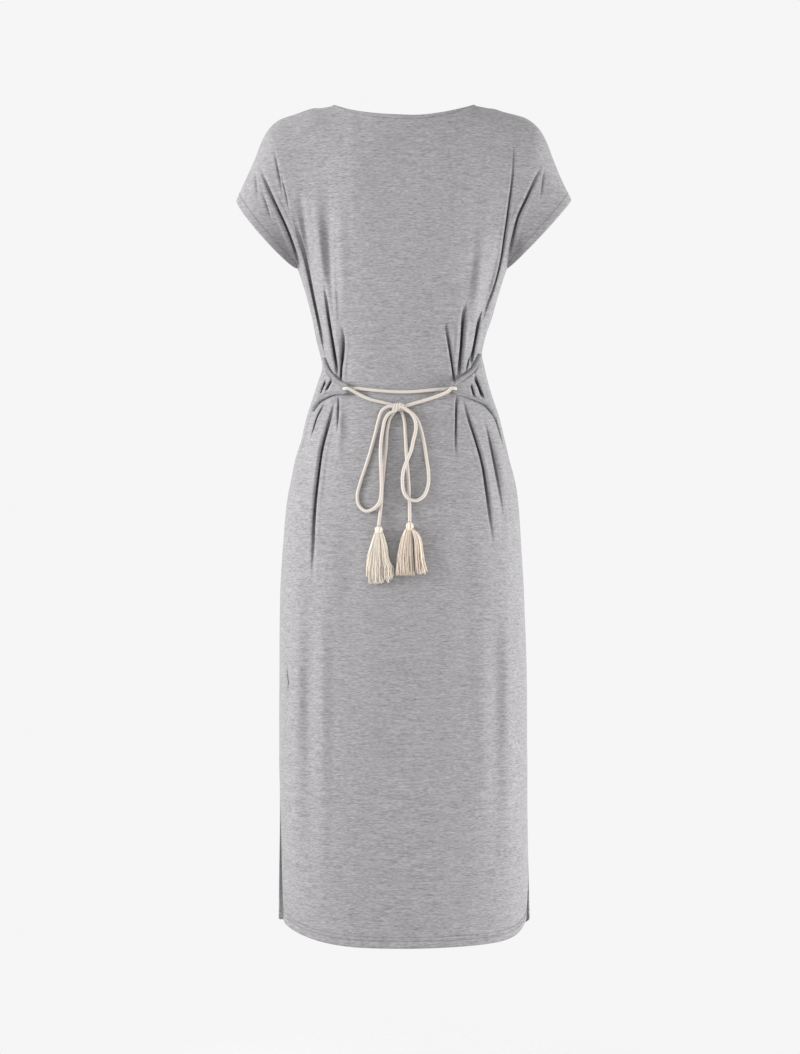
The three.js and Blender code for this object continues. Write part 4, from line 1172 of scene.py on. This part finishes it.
@dataclass
class WaistTurn:
    """Place at one side of the waist where the cord turns through its fabric loop."""

    side: int
    x: float
    drop: float
    contact: ClothContact

    def __post_init__(self) -> None:
        """Settles how near the cloth the cord passes."""
        self.loop_x = self.x - self.side * TURN_RADIUS
        self.nearest = self.contact.resting(self.loop_x, self.drop, CORD_DIAMETER / 2 + 0.7)

    def loop_stops(self) -> list[Stop]:
        """Stops of the fabric loop's bight, from its upper strand to its lower one."""
        stops = []
        for degrees in (60, 20, -20, -60):
            angle = math.radians(degrees)
            stops.append(Stop(self.x - self.side * TURN_RADIUS * math.cos(angle),
                              self.drop - TURN_RADIUS * math.sin(angle),
                              y=self.nearest - TURN_RADIUS))
        return stops

    def cord_stops(self) -> list[Stop]:
        """Stops of the cord's turn, from over the fabric loop to under it."""
        stops = []
        for degrees in (90, 45, 0, -45, -90):
            angle = math.radians(degrees)
            stops.append(Stop(self.loop_x + self.side * TURN_RADIUS * math.cos(angle), self.drop,
                              y=self.nearest - TURN_RADIUS * (1 + math.sin(angle))))
        return stops


@dataclass
class FabricLoop:
    """Narrow turned tube of the dress fabric, caught in the side seam, that holds the cord."""

    name: str
    stops: list[Stop]
    contact: ClothContact
    width: tuple[float, ...]
    thickness: float = 5.2
    sides: int = 16
    step: float = 1.1
    pucker: float = 0.05
    seam_height: float = 0.12
    seam_angle: float = 4.4
    seam_width: float = 0.35

    def build(self, finish: bpy.types.Material) -> bpy.types.Object:
        """Makes the loop, wider where it leaves the folds, with its seam as a faint ridge.

        Args:
            finish: Jersey material.

        Returns:
            The loop's object.
        """
        route = smooth_route(laid_route(self.stops, self.thickness, self.contact), self.step)
        _, side, out = route_frames(route)
        share = np.linspace(0.0, 1.0, len(route))
        width = np.interp(share, np.linspace(0, 1, len(self.width)), self.width) / 2
        thick = np.minimum(self.thickness / 2, width)
        angle = np.linspace(0, 2 * math.pi, self.sides, endpoint=False)
        length = np.arange(len(route)) * self.step
        pucker = 1 + self.pucker * np.sin(length / 2.3 + 3 * np.sin(length / 7.0))
        seam = 1 + self.seam_height * np.exp(-((angle - self.seam_angle) / self.seam_width) ** 2)
        rings = []
        for i in range(len(route)):
            flat = np.cos(angle) * width[i] * pucker[i] * seam
            deep = np.sin(angle) * thick[i] * seam
            rings.append(route[i] + flat[:, None] * self._level(side[i], out[i])
                         + deep[:, None] * self._toward(side[i], out[i]))
        points = np.concatenate(rings)
        weave = np.stack([np.tile(angle * self.thickness / 2 * MM, len(route)),
                          np.repeat(length * MM, self.sides), np.zeros(len(points))], axis=1)
        piece = mesh_piece(self.name + "_rouleau", points, tube_faces(len(route), self.sides),
                           finish, {"weave": weave})
        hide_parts(self.name)
        return piece

    def _toward(self, side: np.ndarray, out: np.ndarray) -> np.ndarray:
        """Direction across the loop that points away from the cloth."""
        away = np.array((0.0, -1.0, 0.0))
        flat = side * (away @ side) + out * (away @ out)
        return flat / max(np.linalg.norm(flat), 1e-6)

    def _level(self, side: np.ndarray, out: np.ndarray) -> np.ndarray:
        """Direction across the loop that lies along the cloth."""
        return np.cross(np.cross(side, out), self._toward(side, out))


@dataclass
class PlaitedCord:
    """One length of the round plaited cotton cord."""

    name: str
    stops: list[Stop]
    contact: ClothContact
    far_end: str
    length: float
    lay: str
    sides: int = 24
    step: float = 0.8
    relief: float = 0.12
    plait: float = 5.0
    strands: int = 4

    def build(self, finish: bpy.types.Material, extras: Sequence[bpy.types.Object] = ()
              ) -> bpy.types.Object:
        """Args:
            finish: Cotton material.
            extras: Pieces that belong to its end, such as a tassel; not used.

        Returns:
            The cord's object.
        """
        route = smooth_route(laid_route(self.stops, CORD_DIAMETER, self.contact), self.step)
        points, relief = self.surface(route)
        piece = mesh_piece(self.name + "_plait", points, tube_faces(len(route), self.sides),
                           finish, {"relief": relief})
        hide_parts(self.name)
        return piece

    def surface(self, route: np.ndarray) -> tuple[np.ndarray, np.ndarray]:
        """Points of the plaited surface along a route.

        Args:
            route: Centre line.

        Returns:
            The points, ring by ring, and their relief from 0 in a groove to 1 on a crown, which the cotton
            turns into painted shade in the grooves.
        """
        _, side, out = route_frames(route)
        angle = np.linspace(0, 2 * math.pi, self.sides, endpoint=False)[None, :]
        along = (np.arange(len(route)) * self.step * 2 * math.pi / self.plait)[:, None]
        one = np.cos(self.strands * angle + along)
        other = np.cos(self.strands * angle - along)
        relief = np.clip((np.maximum(one, other) + 0.45) / 1.45, 0.0, 1.0) ** 0.8
        radius = CORD_DIAMETER / 2 + 0.1 - self.relief * (1 - relief)
        shape = (np.cos(angle)[..., None] * side[:, None, :] + np.sin(angle)[..., None] * out[:, None, :])
        points = route[:, None, :] + radius[..., None] * shape
        return points.reshape(-1, 3), relief.ravel()


# turns of the knot: the shift along it, the slant, the size and the angle at which each starts
KNOT_TURNS = (
    (-5.2, 0.5, 0.84, 0.0), (-1.7, 0.34, 1.0, 1.1), (1.9, 0.16, 1.04, 2.3), (5.4, -0.1, 0.86, 0.6),
)


@dataclass
class BowKnot:
    """Wound middle of the bow: four turns of the cord drawn tight over its crossing strands."""

    contact: ClothContact
    x: float = -8.0
    drop: float = 435.4
    half_height: float = 5.5
    half_depth: float = 5.4

    def build(self, finish: bpy.types.Material) -> bpy.types.Object:
        """Makes the knot from slanting turns of the plaited cord.

        Args:
            finish: Cotton material.

        Returns:
            The knot's object.
        """
        y = self.contact.resting(self.x, self.drop, self.half_depth)
        centre = np.array((self.x, y, -self.drop))
        maker = PlaitedCord("bow_knot", [], self.contact, "object", 0.0, "taut")
        bundle = TubeBundle()
        for shift, slant, size, start in KNOT_TURNS:
            angle = np.linspace(0, 2 * math.pi, 64) + start
            up = np.cos(angle) * (self.half_height - 1.6) * size
            deep = np.sin(angle) * (self.half_depth - 1.9) * size
            route = centre + np.stack([shift + up * slant, deep, up], axis=1)
            bundle.add(*maker.surface(smooth_route(route, 0.7)), maker.sides)
        piece = bundle.piece("bow_knot_turns", finish)
        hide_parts("bow_knot")
        return piece


# shares of a lock's length at which its opening is given
BRUSH_STOPS = (0, 0.15, 0.35, 0.6, 0.8, 1.0)
# shares of a tassel head's height, and its fullness at all of them but the last
HEAD_STOPS = (0, 0.08, 0.25, 0.5, 0.8, 1.0)
HEAD_FULLNESS = (0.35, 0.62, 0.92, 1.0, 0.84)


@dataclass(frozen=True)
class Lock:
    """One lock of a tassel's brush.

    threads is its share of all the threads, x where it ends beside the tassel's axis, half_width
    its half width there, length its share of the brush's length and opening how far it has
    opened out at each of BRUSH_STOPS.
    """

    threads: float
    x: float
    half_width: float
    length: float
    opening: tuple[float, ...]


@dataclass
class Tassel:
    """Cotton tassel: a bound head with a brush of cut yarn that has begun to fray."""

    name: str
    x: float
    top: float
    head_radius: float
    head_height: float
    neck_radius: float
    length: float
    locks: tuple[Lock, ...]
    unevenness: float
    seed: int
    half_depth: float = 5.0
    threads: int = 330
    thread_radius: float = 0.42
    sections: int = 10

    def depth(self, contact: ClothContact) -> float:
        """y of the tassel's axis, so that neither its head nor its brush meets the cloth."""
        head = contact.resting(self.x, self.top + self.head_height / 2, self.head_radius + 0.7)
        end = self.top + self.head_height + self.length * 0.9
        return min(head, contact.resting(self.x, end, self.half_depth + 1.45))

    def build(self, finish: bpy.types.Material, contact: ClothContact) -> bpy.types.Object:
        """Makes the head, its binding and the brush as one piece.

        Args:
            finish: Cotton material.
            contact: The cloth that it hangs against.

        Returns:
            The tassel's object.
        """
        draw = np.random.default_rng(self.seed)
        bundle = TubeBundle((self.x, self.depth(contact), -self.top))
        self._head(bundle)
        self._binding(bundle)
        for lock in self.locks:
            for _ in range(int(lock.threads * self.threads)):
                self._thread(lock, draw, bundle)
        piece = bundle.piece(self.name + "_yarn", finish)
        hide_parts(self.name)
        return piece

    def _head(self, bundle: TubeBundle) -> None:
        """Adds the folded yarn of the head, ribbed along its length."""
        sides, levels = 40, 16
        angle = np.linspace(0, 2 * math.pi, sides, endpoint=False)
        shares = np.linspace(0.0, 1.0, levels)
        swell = np.interp(shares, HEAD_STOPS, (*HEAD_FULLNESS, self.neck_radius / self.head_radius))
        ribs = 1 + 0.04 * np.cos(7 * angle)
        rings = [np.stack([np.cos(angle) * self.head_radius * full * ribs,
                           np.sin(angle) * self.head_radius * full * ribs * 0.94,
                           np.full(sides, -share * (self.head_height + 2))], axis=1)
                 for share, full in zip(shares, swell)]
        # relief from 0 between the ribs to 1 on them, which the yarn turns into painted shade between the
        # ribs
        heights = np.tile(0.5 + (ribs - 1.0) / 0.08, levels)
        bundle.add(np.concatenate(rings), heights, sides)

    def _binding(self, bundle: TubeBundle) -> None:
        """Adds the thread wound round the neck."""
        angle = np.linspace(0, 3.6 * 2 * math.pi, 90)
        rise = np.linspace(-1.6, 1.6, 90)
        radius = self.neck_radius + 0.35
        route = np.stack([np.cos(angle) * radius, np.sin(angle) * radius,
                          -self.head_height + rise], axis=1)
        self._tube(route, np.full(len(route), 0.5), 6, 0.55, bundle)

    def _tube(self, route: np.ndarray, radii: np.ndarray, sides: int, relief: float,
              bundle: TubeBundle) -> None:
        """Adds a plain thread along a route."""
        _, side, out = route_frames(route)
        angle = np.linspace(0, 2 * math.pi, sides, endpoint=False)[None, :, None]
        shape = np.cos(angle) * side[:, None, :] + np.sin(angle) * out[:, None, :]
        ring = route[:, None, :] + radii[:, None, None] * shape
        bundle.add(ring.reshape(-1, 3), np.full(len(route) * sides, relief), sides)

    def _thread(self, lock: Lock, draw: np.random.Generator, bundle: TubeBundle) -> None:
        """Adds one crimped thread of a lock."""
        angle = draw.uniform(0, 2 * math.pi)
        ring = math.sqrt(draw.uniform(0.0, 1.0))
        across, deep = ring * math.cos(angle), ring * math.sin(angle)
        end = self.length * lock.length * (1 - self.unevenness * draw.uniform(0, 1))
        share = np.linspace(0.0, 1.0, self.sections)
        open_out = np.interp(share, BRUSH_STOPS, lock.opening)
        root_side = 0.5 * lock.x / (abs(lock.x) + lock.half_width)
        root = self.neck_radius * 0.8 * (root_side + 0.6 * across)
        stray = 1.0 + max(0.0, draw.normal(0.0, 0.12))
        x = root + (lock.x + lock.half_width * across * stray - root) * open_out
        half_depth = self.neck_radius * 0.8 + (self.half_depth - self.neck_radius * 0.8) * open_out
        crimp = np.cumsum(draw.normal(0, 0.42, (self.sections, 2)), axis=0) * share[:, None]
        route = np.stack([x + crimp[:, 0], deep * half_depth + 0.6 * crimp[:, 1],
                          -self.head_height + 1.2 - (end + 1.2) * share], axis=1)
        radii = self.thread_radius * draw.uniform(0.8, 1.3) * np.interp(share, (0, 0.9, 1), (1, 1, 0.7))
        self._tube(route, radii, 4, draw.uniform(0.3, 1.0), bundle)


# Routes of the cord, close to those of the solids but for its turns, which sit nearer the middle

WAIST_OUT = (
    Stop(-8, 433.4), Stop(-15.5, 432.2), Stop(-30, 428.5), Stop(-46, 424.5, 0.3), Stop(-60, 418.5, 2.5),
    Stop(-71, 412.5, 7.5),
)
WAIST_SPAN = (
    Stop(-68, 408.5), Stop(-54, 410), Stop(-38, 411.8), Stop(-20, 413.3), Stop(-3, 414),
    Stop(14, 413.4), Stop(30, 412), Stop(46, 410.3), Stop(59, 409.2),
)
WAIST_BACK = (
    Stop(61, 413.5, 7.5), Stop(50, 418.2, 2.5), Stop(35, 423.5, 0.3), Stop(18, 428.8),
    Stop(1.4, 433.4), Stop(-6, 434.2),
)
BOW_LEFT = (
    Stop(-8.5, 434.6, 5.6), Stop(-16, 434.4, 5.6), Stop(-22.5, 435, 5.6), Stop(-30.5, 440.5, 4.5),
    Stop(-35.5, 454, 3),
    Stop(-39.5, 471, 1.5), Stop(-46.5, 497), Stop(-54, 521), Stop(-61, 543), Stop(-64.5, 559),
    Stop(-62, 572), Stop(-52, 579.8, 1.5), Stop(-41, 576, 4), Stop(-33.5, 566, 6),
    Stop(-31.3, 552, 6), Stop(-31.5, 532, 6), Stop(-32.4, 510, 5.6), Stop(-32.4, 490, 4.5),
    Stop(-30, 470, 4), Stop(-26, 452, 4.6), Stop(-20.5, 444.5, 5.2), Stop(-12, 440.7, 5.6),
    Stop(-8, 437, 5),
)
BOW_RIGHT = (
    Stop(-5, 434.8, 6.6), Stop(1, 437.4, 7.2), Stop(9, 443.6, 7.2), Stop(15, 453.5, 6), Stop(16.2, 466, 5),
    Stop(13, 481, 5.2), Stop(9, 498, 5.8), Stop(3.5, 511, 6.2), Stop(-1, 524, 5.6),
    Stop(-2.4, 540, 5), Stop(0, 555, 5.6), Stop(7, 563.6, 6.2), Stop(18, 565, 4),
    Stop(27.5, 558, 1.5), Stop(33, 544), Stop(33.4, 526), Stop(30.8, 507), Stop(27.5, 486),
    Stop(23, 466, 0.6), Stop(17.5, 452, 1.5), Stop(11, 444, 1.5), Stop(2.4, 439.8, 1.5),
    Stop(-3.5, 436.8, 1.8),
)
TAIL_LEFT = (
    Stop(-8.4, 435.2, 0.4), Stop(-12.6, 441), Stop(-19.4, 451), Stop(-23.4, 469), Stop(-24.8, 492),
    Stop(-27.6, 518), Stop(-30, 546), Stop(-32, 574),
)
TAIL_RIGHT = (
    Stop(-6, 435.2, 0.4), Stop(-3.6, 441.4), Stop(0.2, 454), Stop(1.8, 474), Stop(3, 500), Stop(5.2, 526),
    Stop(6.8, 552), Stop(7.5, 576),
)


LEFT_LOCKS = (
    Lock(0.46, -4.0, 9.5, 1.0, (0.1, 0.4, 0.75, 0.95, 1.0, 1.0)),
    Lock(0.2, -11.0, 5.0, 0.88, (0.1, 0.35, 0.62, 0.95, 1.0, 1.05)),
    Lock(0.3, 13.0, 6.5, 0.92, (0.1, 0.32, 0.5, 0.58, 0.98, 0.86)),
    Lock(0.04, 9.0, 9.0, 0.98, (0.1, 0.3, 0.5, 0.6, 0.8, 1.0)),
)
RIGHT_LOCKS = (
    Lock(0.57, -6.8, 11.6, 1.0, (0.2, 0.45, 0.64, 0.82, 0.92, 1.0)),
    Lock(0.37, 15.4, 6.2, 0.97, (0.1, 0.6, 0.76, 0.82, 0.9, 1.0)),
    Lock(0.06, 19.0, 5.0, 0.9, (0.1, 0.55, 0.68, 0.78, 0.9, 1.05)),
)


@dataclass
class TieCord:
    """The whole tie: fabric loops, cord, bow and tassels."""

    contact: ClothContact

    def build(self, jersey: bpy.types.Material, cotton: bpy.types.Material,
              pale_yarn: bpy.types.Material, shaded_yarn: bpy.types.Material) -> list[bpy.types.Object]:
        """Makes all the pieces of the tie.

        Args:
            jersey: Material of the fabric loops, a darker copy of the jersey that paints shade on them.
            cotton: Material of the cord.
            pale_yarn: Material of the left tassel.
            shaded_yarn: Material of the right tassel, a darker, warmer copy of the tassel yarn with
                painted shade.

        Returns:
            The two fabric loops, which are sewn into the cloth.
        """
        left = WaistTurn(-1, -83.5, 409, self.contact)
        right = WaistTurn(1, 71.5, 409, self.contact)
        knot = BowKnot(self.contact).build(cotton)
        waist = [*WAIST_OUT, *left.cord_stops(), *WAIST_SPAN, *reversed(right.cord_stops()), *WAIST_BACK]
        self._cord("cord_waist", waist, 0.334, "taut", "object", cotton, [knot])
        self._cord("bow_left", BOW_LEFT, 0.342, "hanging", "object", cotton)
        self._cord("bow_right", BOW_RIGHT, 0.308, "hanging", "object", cotton)
        self._tail("tail_left", TAIL_LEFT, 0.172, cotton, pale_yarn,
                   Tassel("tassel_left", -35, 600.5, 5.5, 8, 4.2, 71.5, LEFT_LOCKS, 0.12, 41))
        self._tail("tail_right", TAIL_RIGHT, 0.165, cotton, shaded_yarn,
                   Tassel("tassel_right", 7.6, 595, 5.3, 10, 3.8, 63.5, RIGHT_LOCKS, 0.07, 23))
        loops = [
            FabricLoop("loop_left", [
                Stop(-113, 363, -3.5), Stop(-110, 374, 0.4), Stop(-106, 382, 1), Stop(-100, 389.5, 1),
                Stop(-91, 399, 1.5), *left.loop_stops(), Stop(-97, 414.3, 1.4), Stop(-110, 418, 1),
                Stop(-121, 424.5, 0.8), Stop(-129, 437, -3)],
                self.contact, (6, 5.8, 5.4, 5.2, 5.0, 4.6, 4.4, 4.6, 5.4, 6.2, 7)),
            FabricLoop("loop_right", [
                Stop(106.5, 358, -4), Stop(102.5, 370, 0.6), Stop(96.5, 380.5, 1), Stop(82, 392.8, 1.5),
                *right.loop_stops(), Stop(88, 418.3, 1.4), Stop(101, 422.6, 1), Stop(112, 427, 0.8),
                Stop(123, 437, 0), Stop(130, 448, -3)],
                self.contact, (7, 7, 6.2, 5.2, 4.4, 4.0, 4.0, 4.0, 4.4, 4.8, 5)),
        ]
        return [loop.build(jersey) for loop in loops]

    def _cord(self, name: str, stops: Sequence[Stop], length: float, lay: str, far_end: str,
              cotton: bpy.types.Material, extras: Sequence[bpy.types.Object] = ()) -> None:
        """Makes one length of cord."""
        PlaitedCord(name, list(stops), self.contact, far_end, length, lay).build(cotton, extras)
        log.info("%s made", name)

    def _tail(self, name: str, stops: Sequence[Stop], length: float, cotton: bpy.types.Material,
              yarn: bpy.types.Material, tassel: Tassel) -> None:
        """Makes a tail and the tassel at its end."""
        brush = tassel.build(yarn, self.contact)
        end = Stop(tassel.x, tassel.top - 0.4, y=tassel.depth(self.contact))
        self._cord(name, [*stops, end], length, "hanging", "knot", cotton, [brush])


# Studio


@dataclass
class Studio:
    """Camera at the photo's angle, soft lights, pale surroundings and the floor."""

    camera_place: tuple[float, float, float] = (-0.0057, -2.8, -0.6016)
    lens: float = 66.84
    sensor: float = 36.0
    floor_height: float = -1.42
    floor_half: float = 3.0
    surround: float = 0.92

    def build_camera(self) -> None:
        """Makes the camera, level and square to the back of the dress."""
        data = bpy.data.cameras.new("photo_camera")
        data.lens = self.lens
        data.sensor_width = self.sensor
        camera = bpy.data.objects.new("photo_camera", data)
        camera.location = self.camera_place
        camera.rotation_euler = (math.radians(90), 0, 0)
        bpy.context.scene.collection.objects.link(camera)
        bpy.context.scene.camera = camera

    def build(self) -> None:
        """Makes the surroundings, the lights and the floor."""
        bpy.context.scene.view_settings.view_transform = "Standard"
        world = bpy.data.worlds.new("pale_studio")
        world.use_nodes = True
        sky = world.node_tree.nodes["Background"]
        sky.inputs["Color"].default_value = (1.0, 1.0, 1.0, 1.0)
        sky.inputs["Strength"].default_value = self.surround
        bpy.context.scene.world = world
        self._area("left_softbox", (-2.6, -0.9, 0.05), 1.0, 86)
        self._area("right_softbox", (2.6, -0.5, -1.0), 1.0, 72)
        mesh = bpy.data.meshes.new("studio_floor")
        half = self.floor_half
        corners = [(-half, -half, 0), (half, -half, 0), (half, half, 0), (-half, half, 0)]
        mesh.from_pydata(corners, [], [(0, 1, 2, 3)])
        mesh.materials.append(StudioPaper().material())
        floor = bpy.data.objects.new("studio_floor", mesh)
        floor.location = (0, 0, self.floor_height)
        bpy.context.scene.collection.objects.link(floor)

    def _area(self, name: str, place: tuple[float, float, float], size: float, power: float) -> None:
        """Adds one large soft light that faces the middle of the dress."""
        data = bpy.data.lights.new(name, "AREA")
        data.shape = "SQUARE"
        data.size = size
        data.energy = power
        light = bpy.data.objects.new(name, data)
        light.location = place
        aim = Vector((0, 0, -0.6)) - Vector(place)
        light.rotation_euler = aim.to_track_quat("-Z", "Y").to_euler()
        bpy.context.scene.collection.objects.link(light)


def build_panels(jersey: bpy.types.Material, thread: bpy.types.Material) -> dict:
    """Makes both panels and their stitching.

    Args:
        jersey: Material of the cloth.
        thread: Material of the stitches.

    Returns:
        For each panel's name, the panel, its object and its stitching.
    """
    panels = (
        ClothPanel(
            "back_panel", ("back_bodice", "back_skirt"), -1, 60, 24, 1.6, 72, 6, 48, 44, BACK_CREASES,
            ((0.32, 9), (0.9, 112), (0.98, 8), (1.0, 5)), ((0.045, 8), (1.0, 50)),
            ((330, 18), (470, 56), (600, 34), (940, 34), (1160, 20), (HEM_DROP, 14)),
            (0.5, 1.19), 0.52, sleeve_fullness=(10.0, 6.0)),
        ClothPanel(
            "front_panel", ("front_bodice", "front_skirt"), 1, 58, 76, 1.0, 60, 6, 50, 8, FRONT_CREASES,
            ((0.4, 12), (0.95, 36), (0.985, 5), (1.0, 4)), ((0.05, 7), (1.0, 40)),
            ((480, 46), (940, 40), (1160, 16), (HEM_DROP, 14)),
            (0.5, 1.19), 0.53, corner_share=0.66, seed=19, sleeve_fullness=(-3.0, -3.0)),
    )
    made = {}
    for panel in panels:
        cloth = panel.build(jersey)
        made[panel.name] = (panel, cloth, Stitching(panel).build(thread))
        log.info("%s made with %d points", panel.name, len(cloth.data.vertices))
    return made


def main() -> None:
    logging.basicConfig(level=logging.INFO, format="%(message)s")
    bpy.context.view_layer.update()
    studio = Studio()
    studio.build_camera()
    jersey = MarlJersey("marl_jersey", (0.136, 0.132, 0.137), (0.408, 0.398, 0.408)).material()
    # darker copy of the marl jersey for the fabric loops: painted shade on them
    shaded_loop_jersey = MarlJersey("painted_shade_jersey", (0.11, 0.108, 0.112), (0.33, 0.324, 0.332)).material()
    # each yarn: first the painted shade of its grooves, then the colour of its crowns
    thread = CottonYarn("grey_thread", (0.12, 0.118, 0.122), (0.18, 0.177, 0.182)).material()
    cotton = CottonYarn("plaited_cotton", (0.44, 0.39, 0.345), (0.595, 0.545, 0.50)).material()
    pale_yarn = CottonYarn("pale_tassel_yarn", (0.56, 0.485, 0.41), (0.80, 0.73, 0.64)).material()
    # darker, warmer copy of the tassel yarn for the less lit right tassel: painted shade
    shaded_yarn = CottonYarn("shaded_tassel_yarn", (0.46, 0.37, 0.29), (0.80, 0.70, 0.60)).material()
    made = build_panels(jersey, thread)
    contact = ClothContact([cloth for _, cloth, _ in made.values()])
    loops = TieCord(contact).build(shaded_loop_jersey, cotton, pale_yarn, shaded_yarn)
    for name, (panel, cloth, stitching) in made.items():
        panel.declare(cloth, [stitching, *(loops if name == "back_panel" else [])])
    studio.build()


if __name__ == "__main__":
    main()
